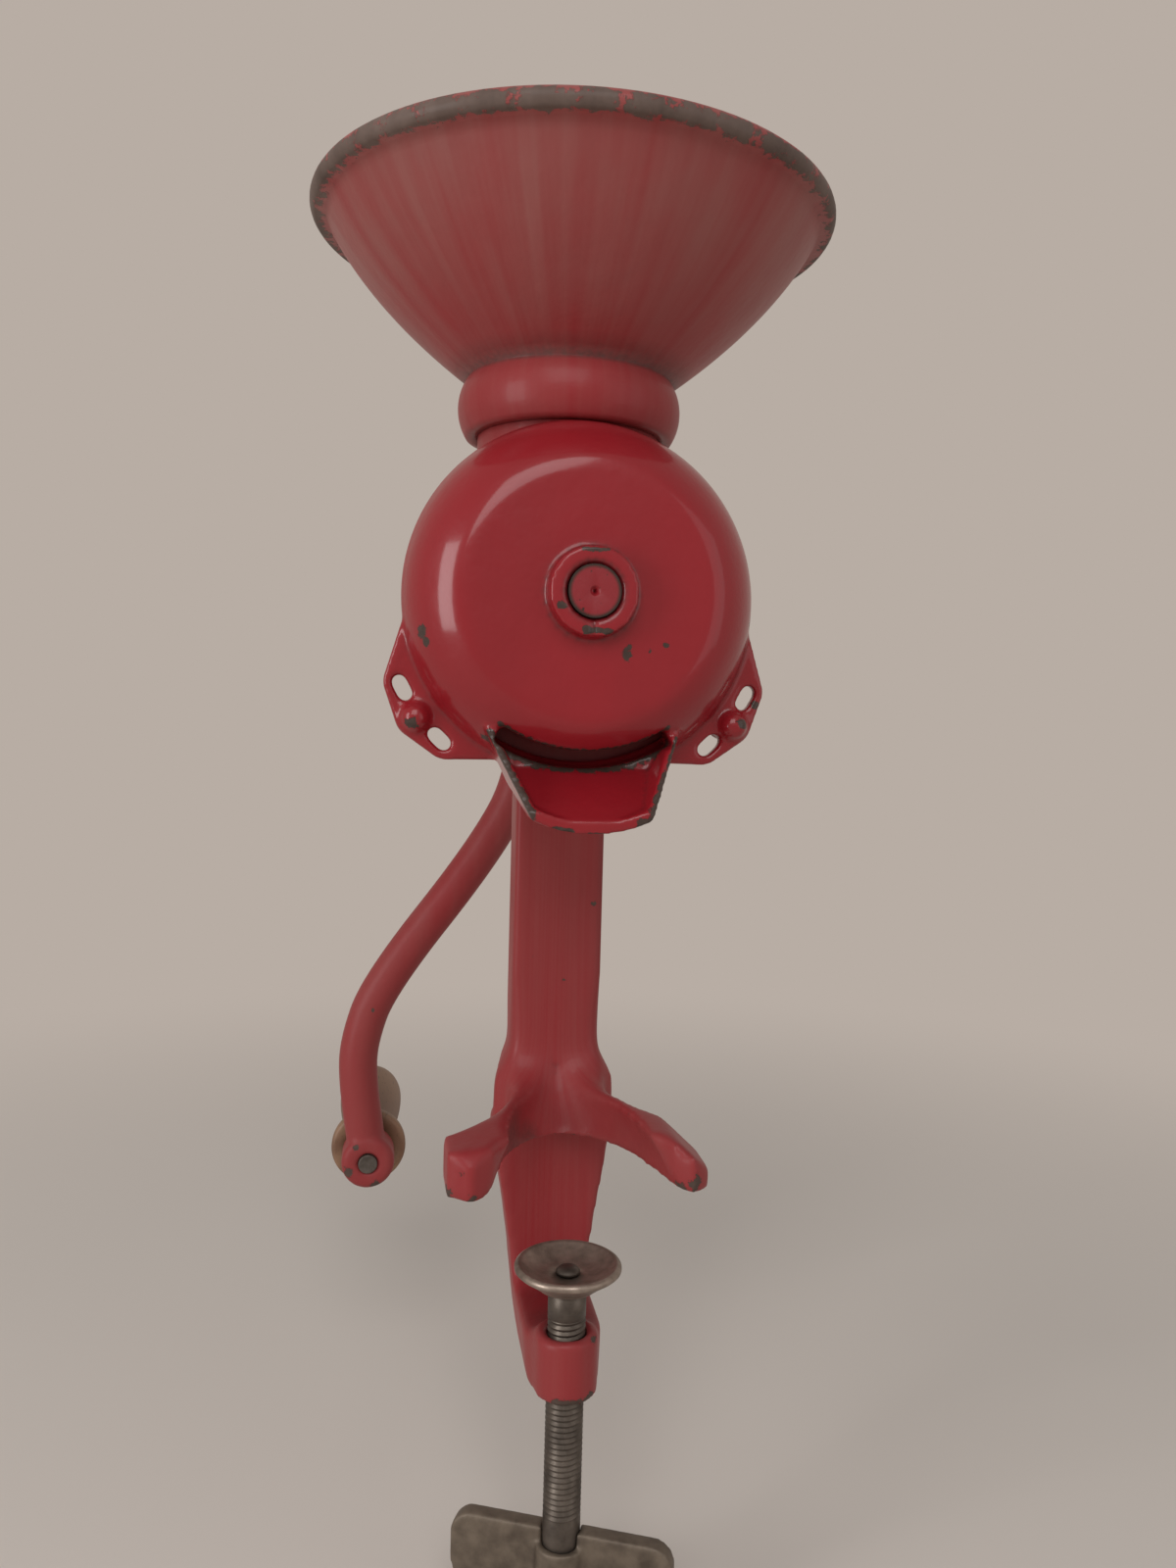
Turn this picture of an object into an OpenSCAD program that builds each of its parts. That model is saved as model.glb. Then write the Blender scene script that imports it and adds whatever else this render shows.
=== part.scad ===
// Clamp-on hand grain mill, in millimetres.
// Origin: the clamp screw's axis where it meets the underside of the jaw.
// X is to the right, Y to the back, Z up; the front cover faces -Y.

/* [Layout] */
// Height of the crank shaft above the underside of the jaw
shaft_z = 145; // [135:1:160]
// Distance of the hopper's axis behind the clamp screw's axis
hopper_y = 38; // [36:0.5:44]
// Gap between the neck and the joint face of the front cover
neck_gap = 0.5; // [0.3:0.1:2]

/* [Hopper] */
// Outer radius of the hopper's cone under the rolled lip
hopper_r = 69; // [60:0.5:80]
// Outer radius of the hopper's cone just above the collar
hopper_base_r = 28.6; // [28.2:0.1:31]
// Height of the cone from the collar to the lip
hopper_h = 43; // [30:0.5:60]
// How far the cone bulges outward at mid height
hopper_bulge = 4.4; // [0:0.1:7]
// Wall of the cone, measured level
hopper_wall = 3.2; // [2.5:0.1:4.5]
// Radius of the rolled lip
lip_r = 2.8; // [2.2:0.1:3.6]
// Height of the collar that sockets over the neck
collar_h = 15.6; // [14:0.1:20]
// Outer radius of the collar at its fullest
collar_r = 31.1; // [30:0.1:34]
// Curvature radius of the collar's bulge
collar_curve_r = 14; // [12:0.5:20]
// Gap between the collar and the top of the front cover
collar_gap = 0.9; // [0.5:0.1:3]
// Thickness of the ledge by which the hopper rests on the neck
ledge_t = 2; // [1.5:0.1:3]

/* [Body casting] */
// Outer radius of the neck
neck_r = 25.5; // [24.5:0.1:25.8]
// Radius of the throat through hopper and neck
throat_r = 21; // [18:0.5:22]
// Outer radius of the barrel
barrel_r = 25; // [23.5:0.5:27]
// Radius of the barrel's bore
bore_r = 20; // [19.5:0.1:21]
// Length of the barrel's bore
bore_len = 50; // [48:0.5:60]
// Thickness of the barrel's rear wall
rear_wall = 8; // [6:0.5:12]
// Thickness of the round plate behind the front cover
chamber_t = 7; // [5:0.5:10]
// Length of the taper from the round plate to the barrel
chamber_taper = 11; // [8:0.5:14]
// Radius of the rear bearing boss
rear_boss_r = 15; // [14:0.5:18]
// Length of the rear bearing boss
rear_boss_len = 28; // [18:0.5:32]
// Width of the flat column
column_w = 25.4; // [20:0.2:30]
// Thickness of the column
column_t = 16; // [12:0.5:20]
// Distance of the column's front face behind the clamp screw's axis
column_y = 32.3; // [30.5:0.1:36]

/* [Jaw and clamp arm] */
// How far the jaw's tips stand in front of the clamp screw's axis
jaw_reach = 25; // [18:0.5:32]
// Distance from the middle to the inner side of a jaw tip
jaw_in = 20; // [16:0.5:24]
// Distance from the middle to the outer side of a jaw tip
jaw_out = 33; // [28:0.5:38]
// Height of the jaw's legs beside the column
jaw_tip_h = 12; // [10:0.5:16]
// How far the left leg's top falls to its outer side
left_fall = 1; // [0.5:0.5:4]
// How far the right leg's top falls to its outer side
right_fall = 8.5; // [5:0.5:9.5]
// How much further out the left leg reaches
left_more = 2; // [0:0.5:3]
// Radius of the legs' hollow outer sides, seen from above
leg_bow_r = 45; // [40:1:52]
// How far the legs' roots stand out past the column's sides
leg_waist = 0.8; // [0.4:0.1:2]
// Radius of the flare from the column to the jaw's legs
flare_r = 10; // [8:0.5:14]
// Length of the chamfer at a jaw tip
jaw_chamfer = 4; // [2:0.5:6]
// Height of the arch between the legs where it meets the column
arch_h = 17; // [14:0.5:22]
// Half the opening angle of the conical arch
arch_half = 22.5; // [21.5:0.5:24.5]
// Tilt of the arch's axis below the level
arch_tilt = 20; // [17:0.5:22]
// Width of the clamp arm at the jaw
arm_top_w = 36; // [32:0.5:44]
// Width of the clamp arm at its lower bend
arm_low_w = 23; // [18:0.5:30]
// Thickness of the clamp arm
arm_t = 14; // [10:0.5:18]
// Inner radius of the clamp arm's bend
arm_bend_r = 8; // [4:0.5:12]
// Radius of the boss that takes the clamp screw
clamp_boss_r = 8.4; // [7.6:0.1:11]
// Height of that boss
clamp_boss_h = 16.6; // [12:0.2:22]
// Depth of the underside of that boss below the jaw
clamp_depth = 61; // [55:0.5:75]

/* [Front cover] */
// Outer radius of the cover's rim
cover_r = 46; // [43:0.5:50]
// Distance from the joint face to the flat front face
cover_depth = 21; // [18:0.5:26]
// Width of the shoulder outside the flat front face
shoulder_w = 14; // [12:0.5:15]
// Radius of the rounded shoulder
shoulder_r = 24; // [23:0.5:27]
// Angle at which the shoulder falls away from the flat face
crease = 24; // [18:1:28]
// Wall of the cover
cover_wall = 4; // [3:0.5:5]
// Thickness of the flange and the ears
flange_t = 4; // [3:0.5:6]
// Radius of the boss around the shaft end
front_boss_r = 11; // [9:0.5:14]
// Height of that boss
front_boss_h = 5; // [3:0.5:8]
// Chamfer around the mouth of that boss
boss_chamfer = 1; // [0.3:0.1:1.4]
// Width of the oil notch in that boss
oil_notch_w = 1.6; // [1:0.1:3]
// Depth of the oil notch
oil_notch_d = 1; // [0.5:0.1:2]

/* [Ears and outlet] */
// How far the ears reach outside the cover's rim
ear_out = 11.5; // [10:0.5:15]
// Angle of the ears below the level
ear_angle = 37; // [34:1:42]
// Half the angle between an ear's round corners
ear_half = 10; // [8:0.5:13]
// Radius of an ear's round corners
ear_round = 6; // [5:0.5:8]
// Half the angle an ear spans at its root
ear_root_half = 27; // [22:1:30]
// Distance from the cover's rim out to the ball bosses
ball_out = 6.4; // [5.5:0.1:8]
// Radius of the ball bosses
ball_r = 3.8; // [3.2:0.1:4.4]
// Width of the curved openings in the ears
slit_w = 3.8; // [2.6:0.2:4.6]
// Angle from the ball to the near end of an opening
slit_near = 5; // [4.8:0.1:7]
// Angle from the ball to the far end of an opening
slit_far = 13; // [10:0.5:14]
// Radial width of the outlet slot
slot_w = 4.7; // [4.2:0.1:6]
// How far the outlet slot cuts into the cover's wall
slot_past = 1.5; // [0.5:0.1:2.5]
// Half the angle the outlet slot spans
slot_half = 32; // [20:1:34]
// Distance of the spout's lip in front of the joint face
spout_reach = 31; // [26:0.5:38]
// Drop of the spout's lip below the cover's rim
spout_fall = 9.5; // [6:0.5:16]
// Half width of the spout at its lip
lip_half = 14.5; // [11:0.5:18]
// Radius of the spout's round lip
spout_round = 34; // [28:0.5:44]
// Half width of the spout at the top of its side walls
spout_half = 25; // [21:0.5:26]
// Height of the top of the side walls above the cover's lowest point
spout_rise = 12.5; // [10:0.5:16]
// Thickness of the spout's floor
spout_floor = 3; // [2:0.5:4]
// Thickness of the spout's side walls
spout_wall = 2.2; // [1.6:0.1:3]
// How far the spout's root lies inside the cover's edge
spout_sill = 1; // [0.5:0.5:2]
// How far in front of the flange the chute starts
chute_back = 6; // [4:0.5:8]
// Height of the chute's floor above the spout's root, where it starts
chute_rise = 1.5; // [1:0.1:3]
// How far the chute's floor falls below the corners of the lip
chute_dip = 0.4; // [0:0.1:1]

/* [Shaft, burrs and worm] */
// Diameter of the shaft
shaft_d = 13; // [11:0.5:14]
// Running clearance of the shaft in its bearings, all round
run_clear = 0.05; // [0.02:0.01:0.1]
// Gap between the two burrs
burr_gap = 0.6; // [0.3:0.1:1.2]
// Space for the meal between the burrs and the cover's inner wall
burr_space = 10.2; // [10:0.1:12]
// Thickness of a burr
burr_t = 7; // [6:0.2:7.4]
// Depth of the furrows cut in a burr
furrow_d = 1.2; // [0.6:0.1:2]
// Number of furrows in a burr
furrow_n = 16; // [8:1:24]
// Width of the furrows
furrow_w = 3; // [2:0.2:4]
// Radius of the feed worm
worm_r = 18.5; // [16:0.1:19]
// Length of the feed worm
worm_len = 50; // [40:0.5:52]
// Turns of the feed worm
worm_turns = 1.5; // [1:0.25:3]
// Thickness of the worm's blade
worm_blade = 7; // [5:0.5:9]
// Width of the key that drives the rotating burr
key_w = 4; // [3:0.2:5]
// Diameter of the burr screws and the cover screws
small_screw_d = 4; // [3:0.2:4.4]
// Diameter of a cover screw's head
cover_head_d = 7.2; // [6.4:0.1:7.6]
// Height of a cover screw's head
cover_head_h = 3; // [2:0.2:4]
// Thickness of the lugs behind the ears
lug_t = 6; // [4:0.5:7]
// Radius of the lugs behind the ears
lug_r = 4.3; // [4:0.1:4.6]

/* [Rear bearing] */
// Outer diameter of the threaded bearing sleeve
sleeve_d = 20; // [18:0.5:23]
// Width across flats of the sleeve's hexagon head
sleeve_hex = 24; // [22:0.5:30]
// Thickness of the sleeve's hexagon head
sleeve_head_t = 6; // [5:0.5:9]
// Width across flats of the lock nut
lock_hex = 30; // [26:0.5:34]
// Thickness of the lock nut
lock_t = 7; // [5:0.5:10]
// Thickness of the thrust washer
thrust_t = 2; // [1.5:0.1:3]
// End play between moving faces
end_play = 0.3; // [0.2:0.05:0.5]

/* [Crank and grip] */
// Diameter of the round crank arm
arm_d = 13.4; // [11:0.2:16]
// Outer radius of the crank hub
hub_r = 12.5; // [11:0.5:16]
// How far the hub and the eye stand proud of the round arm on each side
hub_proud = 0.6; // [0.3:0.1:1.5]
// Side of the square on the shaft end
square_w = 8.6; // [7:0.2:9]
// Straight upper length of the crank arm
arm_straight = 50; // [40:1:60]
// Sideways offset of the crank arm at its outer bend
arm_bow = 57; // [48:1:66]
// Sideways offset of the crank arm at its eye
arm_side = 53; // [45:1:60]
// Reach of the crank arm from the shaft down to its eye
arm_reach = 187; // [175:1:200]
// Radius of the eye at the crank arm's end
eye_r = 9.2; // [8:0.2:12]
// Diameter of the grip's spindle
spindle_d = 6.6; // [5:0.2:8]
// Thickness of the nut on the crank
crank_nut_t = 6.5; // [5:0.5:9]
// Width across flats of the nut on the crank
crank_nut_hex = 13; // [12:0.5:16]
// Thickness of the washers
washer_t = 1.6; // [1:0.1:2.5]
// Length of the wooden grip
grip_len = 70; // [60:1:90]
// Radius of the grip's inner flange
grip_flange_r = 13.2; // [11.5:0.1:15]
// Radius of the grip's waist
grip_waist_r = 8.6; // [7:0.1:10.5]
// Radius of the grip's full end
grip_bulb_r = 12; // [10.8:0.1:14]
// Radius at which the grip's end rounds off
grip_tip_r = 7.4; // [6:0.1:9]

/* [Clamp screw] */
// Diameter of the clamp screw
clamp_d = 10; // [8:0.5:12]
// Running clearance of the screw threads, all round
thread_clear = 0.06; // [0.03:0.01:0.1]
// Gap from the underside of the jaw to the rim of the pad
clamp_gap = 26.6; // [20:0.2:30]
// Radius of the pad
pad_r = 14; // [12:0.5:18]
// Height of the pad
pad_h = 6.4; // [5.6:0.1:8]
// Depth of the hollow in the pad
pad_hollow = 3.2; // [2.8:0.1:3.8]
// Width of the pad's flat rim
pad_rim = 1.6; // [1:0.1:2.5]
// Diameter of the screw's neck through the pad
clamp_neck_d = 4.6; // [4:0.2:5.4]
// Height of the rivet head on the neck
nub_h = 1.7; // [1.2:0.1:2]
// Clearance between the pad and the screw's neck
pad_clear = 0.15; // [0.1:0.01:0.25]
// Length of the screw from under the pad to its lower end
clamp_len = 86; // [80:1:100]
// Span of the wing
wing_w = 60; // [46:1:70]
// Height of the wing
wing_h = 22; // [18:1:28]
// Thickness of the wing
wing_t = 5; // [3.5:0.5:7]
// Angle at which the wing stands
wing_turn = -23; // [-60:1:60]
// Radius of the wing's upper corners
wing_corner = 6; // [4:0.5:8]
// Radius of the wing's hub
wing_hub_r = 7; // [6.4:0.1:9]
// How far the hub ends below the wing's upper edge
wing_hub_drop = 4; // [2:0.5:6]
// Diameter of the pin that holds the wing
wing_pin_d = 3; // [2:0.2:4]

/* [Hidden] */
$fn = 72;
eps = 0.01;
paint_red = [0.55, 0.10, 0.13];
bare_iron = [0.30, 0.28, 0.26];
bare_steel = [0.42, 0.40, 0.38];
turned_wood = [0.36, 0.22, 0.13];
hex_sides = 6;

shaft_r = shaft_d / 2;
joint_y = hopper_y - neck_r - neck_gap;
face_y = joint_y - cover_depth;
boss_y = face_y - front_boss_h;
flange_y = joint_y - flange_t;
shoulder_at = cover_r - shoulder_w;
shoulder_mid = [shoulder_at - shoulder_r * sin(crease), shoulder_r * cos(crease)];
cavity_r = cover_r - cover_wall;
chamber_r = cover_r - 0.5;
barrel_back = joint_y + bore_len + rear_wall;
rear_y = barrel_back + rear_boss_len;

collar_z = shaft_z + cover_r + collar_gap;
cone_z = collar_z + collar_h;
neck_top = cone_z - ledge_t;
lip_z = cone_z + hopper_h;
collar_mid = collar_z + collar_h / 2;

burr_r = cavity_r - burr_space;
burr_face = joint_y - burr_t;
rotor_back = burr_face - burr_gap;
rotor_front = rotor_back - burr_t;
burr_hole = bore_r;
burr_screw_at = (burr_r + burr_hole) / 2;
screw_r = small_screw_d / 2;
screw_seat = chamber_t - 1;
head_r = screw_r * 1.7;
head_h = burr_t * 0.4;

thrust_y = joint_y + bore_len + rear_wall / 2;
sleeve_y = thrust_y + thrust_t + run_clear;
sleeve_r = sleeve_d / 2;
head_y = rear_y + lock_t + 1.5;
sleeve_end = head_y + sleeve_head_t;
collar_shaft_r = sleeve_r - 0.8;
worm_back = joint_y + bore_len - 1;
worm_front = worm_back - worm_len;
worm_core_r = shaft_r + 3;

hub_t = arm_d + 2 * hub_proud;
crank_y = sleeve_end + end_play * 3 + hub_t / 2;
hub_front = crank_y - hub_t / 2;
hub_back = crank_y + hub_t / 2;
knuckle = 0.04;
nut_y = hub_back + washer_t;
stud_r = square_w / 2 - 0.4;
stud_end = nut_y + crank_nut_t + 2;
eye_z = shaft_z - arm_reach;
spindle_r = spindle_d / 2;
grip_y = hub_back + washer_t + end_play;
grip_end = grip_y + grip_len;
spindle_collar_r = spindle_r + 2.4;
grip_bore_r = spindle_r + run_clear;

ear_r = cover_r + ear_out;
ball_at = cover_r + ball_out;
spout_drop = cover_r + spout_fall;
spout_top = cover_r - spout_rise;
ball_x = ball_at * cos(ear_angle);
ball_drop = ball_at * sin(ear_angle);
slit_r = ball_at + 0.8 - slit_w;
slot_r = cavity_r + slot_past - slot_w;

arm_y = column_y + 0.7;
jaw_root_h = jaw_tip_h + flare_r;
bend_y = arm_y - arm_bend_r;
bend_z = -clamp_depth + arm_t + arm_bend_r;
clamp_r = clamp_d / 2;
pad_top = -clamp_gap;
pad_foot = pad_top - pad_h;
screw_top = pad_foot - end_play;
screw_end = screw_top - clamp_len;
pad_floor = pad_top - pad_hollow;
neck_rad = clamp_neck_d / 2;
nub_z = pad_floor + end_play;
wing_top = screw_end + wing_h;

// Stands a solid drawn along Z on the shaft's axis, pointing back from y.
module along_y(y) {
    translate([0, y, shaft_z]) rotate([-90, 0, 0]) children();
}

// Extrudes a front view, drawn about the shaft's axis, forward from y by t.
module front_view(y, t) {
    translate([0, y, shaft_z]) rotate([90, 0, 0]) linear_extrude(t) children();
}

// Extrudes a side view, drawn as (y, z), to half the width w each way.
module side_view(w) {
    translate([-w / 2, 0, 0]) rotate([90, 0, 90]) linear_extrude(w) children();
}

// A round bar between two points of the crank's plane, with a ball at the second.
module bar(a, b, r) {
    d = b - a;
    translate([a[0], crank_y, shaft_z + a[1]])
        rotate([0, 90 - atan2(d[1], d[0]), 0])
        cylinder(r = r, h = norm(d));
    translate([b[0], crank_y, shaft_z + b[1]]) sphere(r = r + knuckle);
}

// A hexagon of width w across its flats.
module hexagon(w) {
    circle(r = w / 2 / cos(180 / hex_sides), $fn = hex_sides);
}

// A flat wedge from the shaft's axis, between two angles.
module wedge(a0, a1, r) {
    polygon([[0, 0], r * [cos(a0), sin(a0)], r * [cos((a0 + a1) / 2), sin((a0 + a1) / 2)], r * [cos(a1), sin(a1)]]);
}

// Body casting: round plate, barrel, neck, rear boss, column, forked jaw and clamp arm in one.
module body_casting() {
    color(paint_red)
    difference() {
        union() {
            along_y(joint_y) cylinder(r = chamber_r, h = chamber_t);
            along_y(joint_y + chamber_t) cylinder(r1 = chamber_r, r2 = barrel_r, h = chamber_taper);
            along_y(joint_y) cylinder(r = barrel_r, h = bore_len + rear_wall);
            along_y(barrel_back) cylinder(r = rear_boss_r, h = rear_boss_len);
            translate([0, hopper_y, shaft_z]) cylinder(r = neck_r, h = neck_top - shaft_z);
            translate([-column_w / 2, column_y, 0]) cube([column_w, column_t, shaft_z - bore_r]);
            for (side = [-1, 1]) cover_lug(side);
            jaw();
            clamp_arm();
        }
        along_y(joint_y - eps) cylinder(r = bore_r, h = bore_len + eps);
        translate([0, hopper_y, shaft_z]) cylinder(r = throat_r, h = neck_top - shaft_z + eps);
        along_y(joint_y) cylinder(r = sleeve_r + thread_clear, h = rear_y - joint_y + eps);
        burr_screw_spots() cylinder(r = screw_r, h = screw_seat);
        for (side = [-1, 1])
            translate([side * ball_x, 0, -ball_drop]) along_y(joint_y - eps)
            cylinder(r = screw_r + run_clear, h = lug_t + 2 * eps);
        translate([0, 0, -clamp_depth - eps])
            cylinder(r = clamp_r + thread_clear, h = clamp_boss_h + 2 * eps);
    }
}

// A lug behind one ear, joined to the round plate by a spoke.
module cover_lug(side) {
    translate([side * ball_x, 0, -ball_drop]) along_y(joint_y) cylinder(r = lug_r, h = lug_t);
    front_view(joint_y + lug_t, lug_t) rotate(-90 + side * (90 - ear_angle)) translate([0, -lug_r])
        square([ball_at, 2 * lug_r]);
}

// Half of the jaw seen from above, from the middle of its back to the inner side of a leg's tip.
function leg_plan(out) = [[0, column_y + column_t], [arm_top_w / 2 - jaw_chamfer, column_y + column_t],
    [arm_top_w / 2, column_y], [out, column_y - jaw_chamfer], [out - jaw_chamfer / 2, jaw_chamfer - jaw_reach],
    [(jaw_in + out) / 2, -jaw_reach], [jaw_in + jaw_chamfer / 2, jaw_chamfer - jaw_reach]];

// The points of an outline's other half, in turning order.
function mirrored(points) = [for (i = [len(points) - 1 : -1 : 1]) [-points[i][0], points[i][1]]];

// The forked jaw: plan, side and front view crossed, with a conical arch between the legs.
module jaw() {
    back = column_y + column_t;
    inner_y = jaw_chamfer * 2 - jaw_reach;
    arch_len = 3 * jaw_reach + column_y;
    flare_x = column_w / 2 + flare_r;
    leg_z = jaw_tip_h - knuckle;
    bow_x = column_w / 2 + leg_waist + leg_bow_r;
    left_out = jaw_out + left_more;
    fillet = [for (a = [0 : 15 : 90])
        [column_y + flare_r * (sin(a) - 1), jaw_tip_h + flare_r * (1 - cos(a))]];
    fork = [[jaw_in, inner_y], [jaw_in * 0.4, inner_y + jaw_in * 0.5]];
    plan = concat(leg_plan(jaw_out), fork, mirrored(concat(leg_plan(left_out), fork)));
    difference() {
        intersection() {
            linear_extrude(jaw_root_h) difference() {
                polygon(plan);
                for (side = [-1, 1]) translate([side * bow_x, column_y - jaw_chamfer])
                    intersection() {
                        circle(r = leg_bow_r);
                        translate([-leg_bow_r, -leg_bow_r]) square([2 * leg_bow_r, leg_bow_r + jaw_chamfer]);
                    }
            }
            side_view(4 * jaw_out) polygon(concat([[-jaw_reach, 0], [-jaw_reach, jaw_tip_h - jaw_chamfer],
                [jaw_chamfer - jaw_reach, jaw_tip_h]], fillet, [[back, jaw_root_h], [back, 0]]));
            translate([0, back, 0]) rotate([90, 0, 0]) linear_extrude(back + jaw_reach)
                difference() {
                    polygon([[-left_out, 0], [jaw_out, 0], [jaw_out, leg_z - right_fall], [flare_x, leg_z],
                        [flare_x, jaw_root_h], [-flare_x, jaw_root_h], [-flare_x, leg_z],
                        [-left_out, leg_z - left_fall]]);
                    for (side = [-1, 1]) translate([side * flare_x, jaw_root_h]) circle(r = flare_r);
                }
        }
        translate([0, column_y + 1, arch_h]) rotate([90 + arch_tilt, 0, 0])
            cylinder(r1 = 0, r2 = arch_len * tan(arch_half), h = arch_len);
    }
}

// The clamp arm: spine, bend and lower arm in side view, narrowed in front view and plan.
module clamp_arm() {
    intersection() {
        side_view(arm_top_w) {
            translate([arm_y, bend_z]) square([arm_t, -bend_z + eps]);
            intersection() {
                difference() {
                    translate([bend_y, bend_z]) circle(r = arm_bend_r + arm_t);
                    translate([bend_y, bend_z]) circle(r = arm_bend_r);
                }
                translate([bend_y, bend_z - arm_bend_r - arm_t]) square(arm_bend_r + arm_t);
            }
            translate([0, -clamp_depth]) square([bend_y, arm_t]);
        }
        translate([0, arm_y + arm_t, 0]) rotate([90, 0, 0]) linear_extrude(arm_y + arm_t)
            polygon([[-arm_top_w / 2, eps], [-arm_low_w / 2 - 2, bend_z * 0.65], [-arm_low_w / 2, bend_z],
                [-arm_low_w / 2 + 2, -clamp_depth], [arm_low_w / 2 - 2, -clamp_depth], [arm_low_w / 2, bend_z],
                [arm_low_w / 2 + 2, bend_z * 0.65], [arm_top_w / 2, eps]]);
        translate([0, 0, -clamp_depth]) linear_extrude(clamp_depth + eps)
            polygon([[-clamp_boss_r, 0], [clamp_boss_r, 0], [arm_top_w / 2, arm_y],
                [arm_top_w / 2, arm_y + arm_t], [-arm_top_w / 2, arm_y + arm_t], [-arm_top_w / 2, arm_y]]);
    }
    translate([0, 0, -clamp_depth]) cylinder(r = clamp_boss_r, h = clamp_boss_h);
}

// Hopper: collar, bulged cone and rolled lip, turned about its own axis.
module hopper() {
    steps = 14;
    cone = [for (i = [0 : steps]) let (u = i / steps)
        [hopper_base_r + (hopper_r - hopper_base_r) * u + hopper_bulge * 4 * u * (1 - u), hopper_h * u]];
    inside = [for (i = [steps : -1 : 0]) [cone[i][0] - hopper_wall * (1 + 0.4 * (1 - i / steps)), cone[i][1]]];
    color(paint_red)
    translate([0, hopper_y, 0])
    rotate_extrude() {
        translate([0, cone_z]) polygon(concat(cone, inside));
        translate([throat_r, neck_top]) square([hopper_base_r - throat_r - 0.4, ledge_t]);
        translate([hopper_r - hopper_wall / 2 + lip_r * 0.6, lip_z]) circle(r = lip_r);
        intersection() {
            translate([collar_r - collar_curve_r, collar_mid]) circle(r = collar_curve_r);
            translate([neck_r, collar_z]) square([collar_r, collar_h]);
        }
    }
}

// Half section of the cover's outside, back from its face to the joint.
module cover_outside() {
    intersection() {
        union() {
            square([shoulder_at, cover_depth]);
            translate(shoulder_mid) circle(r = shoulder_r);
        }
        square([cover_r, cover_depth]);
    }
}

// Half section of the cover's hollow.
module cover_hollow() {
    intersection() {
        union() {
            square([shoulder_at - cover_wall, cover_depth]);
            translate(shoulder_mid) circle(r = shoulder_r - cover_wall);
            translate([0, shoulder_mid[1]]) square([cavity_r, cover_depth]);
        }
        translate([0, cover_wall]) square([cavity_r, cover_depth]);
    }
}

// A strip of half width r between two points of a view, with round ends.
module strip(a, b, r) {
    d = b - a;
    for (p = [a, b]) translate(p) circle(r = r);
    translate(a) rotate(atan2(d[1], d[0])) translate([0, knuckle - r]) square([norm(d), 2 * (r - knuckle)]);
}

// One ear in front view: a plate with round corners and two curved openings with round ends.
module ear(side) {
    tip = [ear_r - ear_round, 0];
    slit_mid = slit_r + slit_w / 2;
    slit_turn = asin(slit_w / 2 / slit_mid);
    slit_ends = [slit_near + slit_turn, slit_far - slit_turn];
    rotate(-90 + side * (90 - ear_angle))
    difference() {
        for (m = [-1, 1]) {
            corner = (cover_r + ear_out * 0.3) * [cos(ear_half), m * sin(ear_half)];
            root = (cover_r - ear_round) * [cos(ear_root_half), m * sin(ear_root_half)];
            strip(tip, corner, ear_round);
            strip(corner, root, ear_round);
            polygon([[0, 0], root, corner, tip]);
        }
        for (m = [-1, 1]) {
            intersection() {
                difference() {
                    circle(r = slit_r + slit_w);
                    circle(r = slit_r);
                }
                wedge(m * slit_ends[0], m * slit_ends[1], ear_r * 1.1);
            }
            for (a = slit_ends) rotate(m * a) translate([slit_mid, 0]) circle(r = slit_w / 2 - knuckle);
        }
    }
}

// The spout: a tapering chute with side walls, below the outlet slot.
module spout() {
    lip_y = joint_y - spout_reach;
    top = -spout_top;
    low = -spout_drop - spout_floor;
    root = spout_sill - cover_r;
    intersection() {
        difference() {
            side_view_at_shaft(4 * spout_half) polygon([[flange_y, top], [joint_y - cover_depth * 0.7, top],
                [lip_y, -spout_drop + spout_wall], [lip_y, low], [flange_y, root - spout_floor]]);
            intersection() {
                side_view_at_shaft(4 * spout_half) polygon([[flange_y - chute_back, top + 1], [lip_y - 1, top + 1],
                    [lip_y - 1, -spout_drop - chute_dip], [flange_y - chute_back, root + chute_rise]]);
                spout_front(spout_wall, spout_floor);
            }
        }
        spout_front(0, 0);
    }
}

// A side view drawn about the shaft's axis.
module side_view_at_shaft(w) {
    translate([0, 0, shaft_z]) side_view(w) children();
}

// The spout's tapering front view with a round lip, made smaller by a wall and a floor.
module spout_front(wall, floor_t) {
    slope = (spout_half - lip_half) / (spout_drop - spout_top);
    over = 2 * spout_floor;
    front_view(joint_y, 2 * spout_reach)
    intersection() {
        polygon([[-spout_half + wall - slope * over, -spout_top + over],
            [spout_half - wall + slope * over, -spout_top + over],
            [lip_half - wall - slope * over, -spout_drop - over],
            [-lip_half + wall + slope * over, -spout_drop - over]]);
        translate([0, spout_round - spout_floor - spout_drop]) circle(r = spout_round - floor_t);
    }
}

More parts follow.
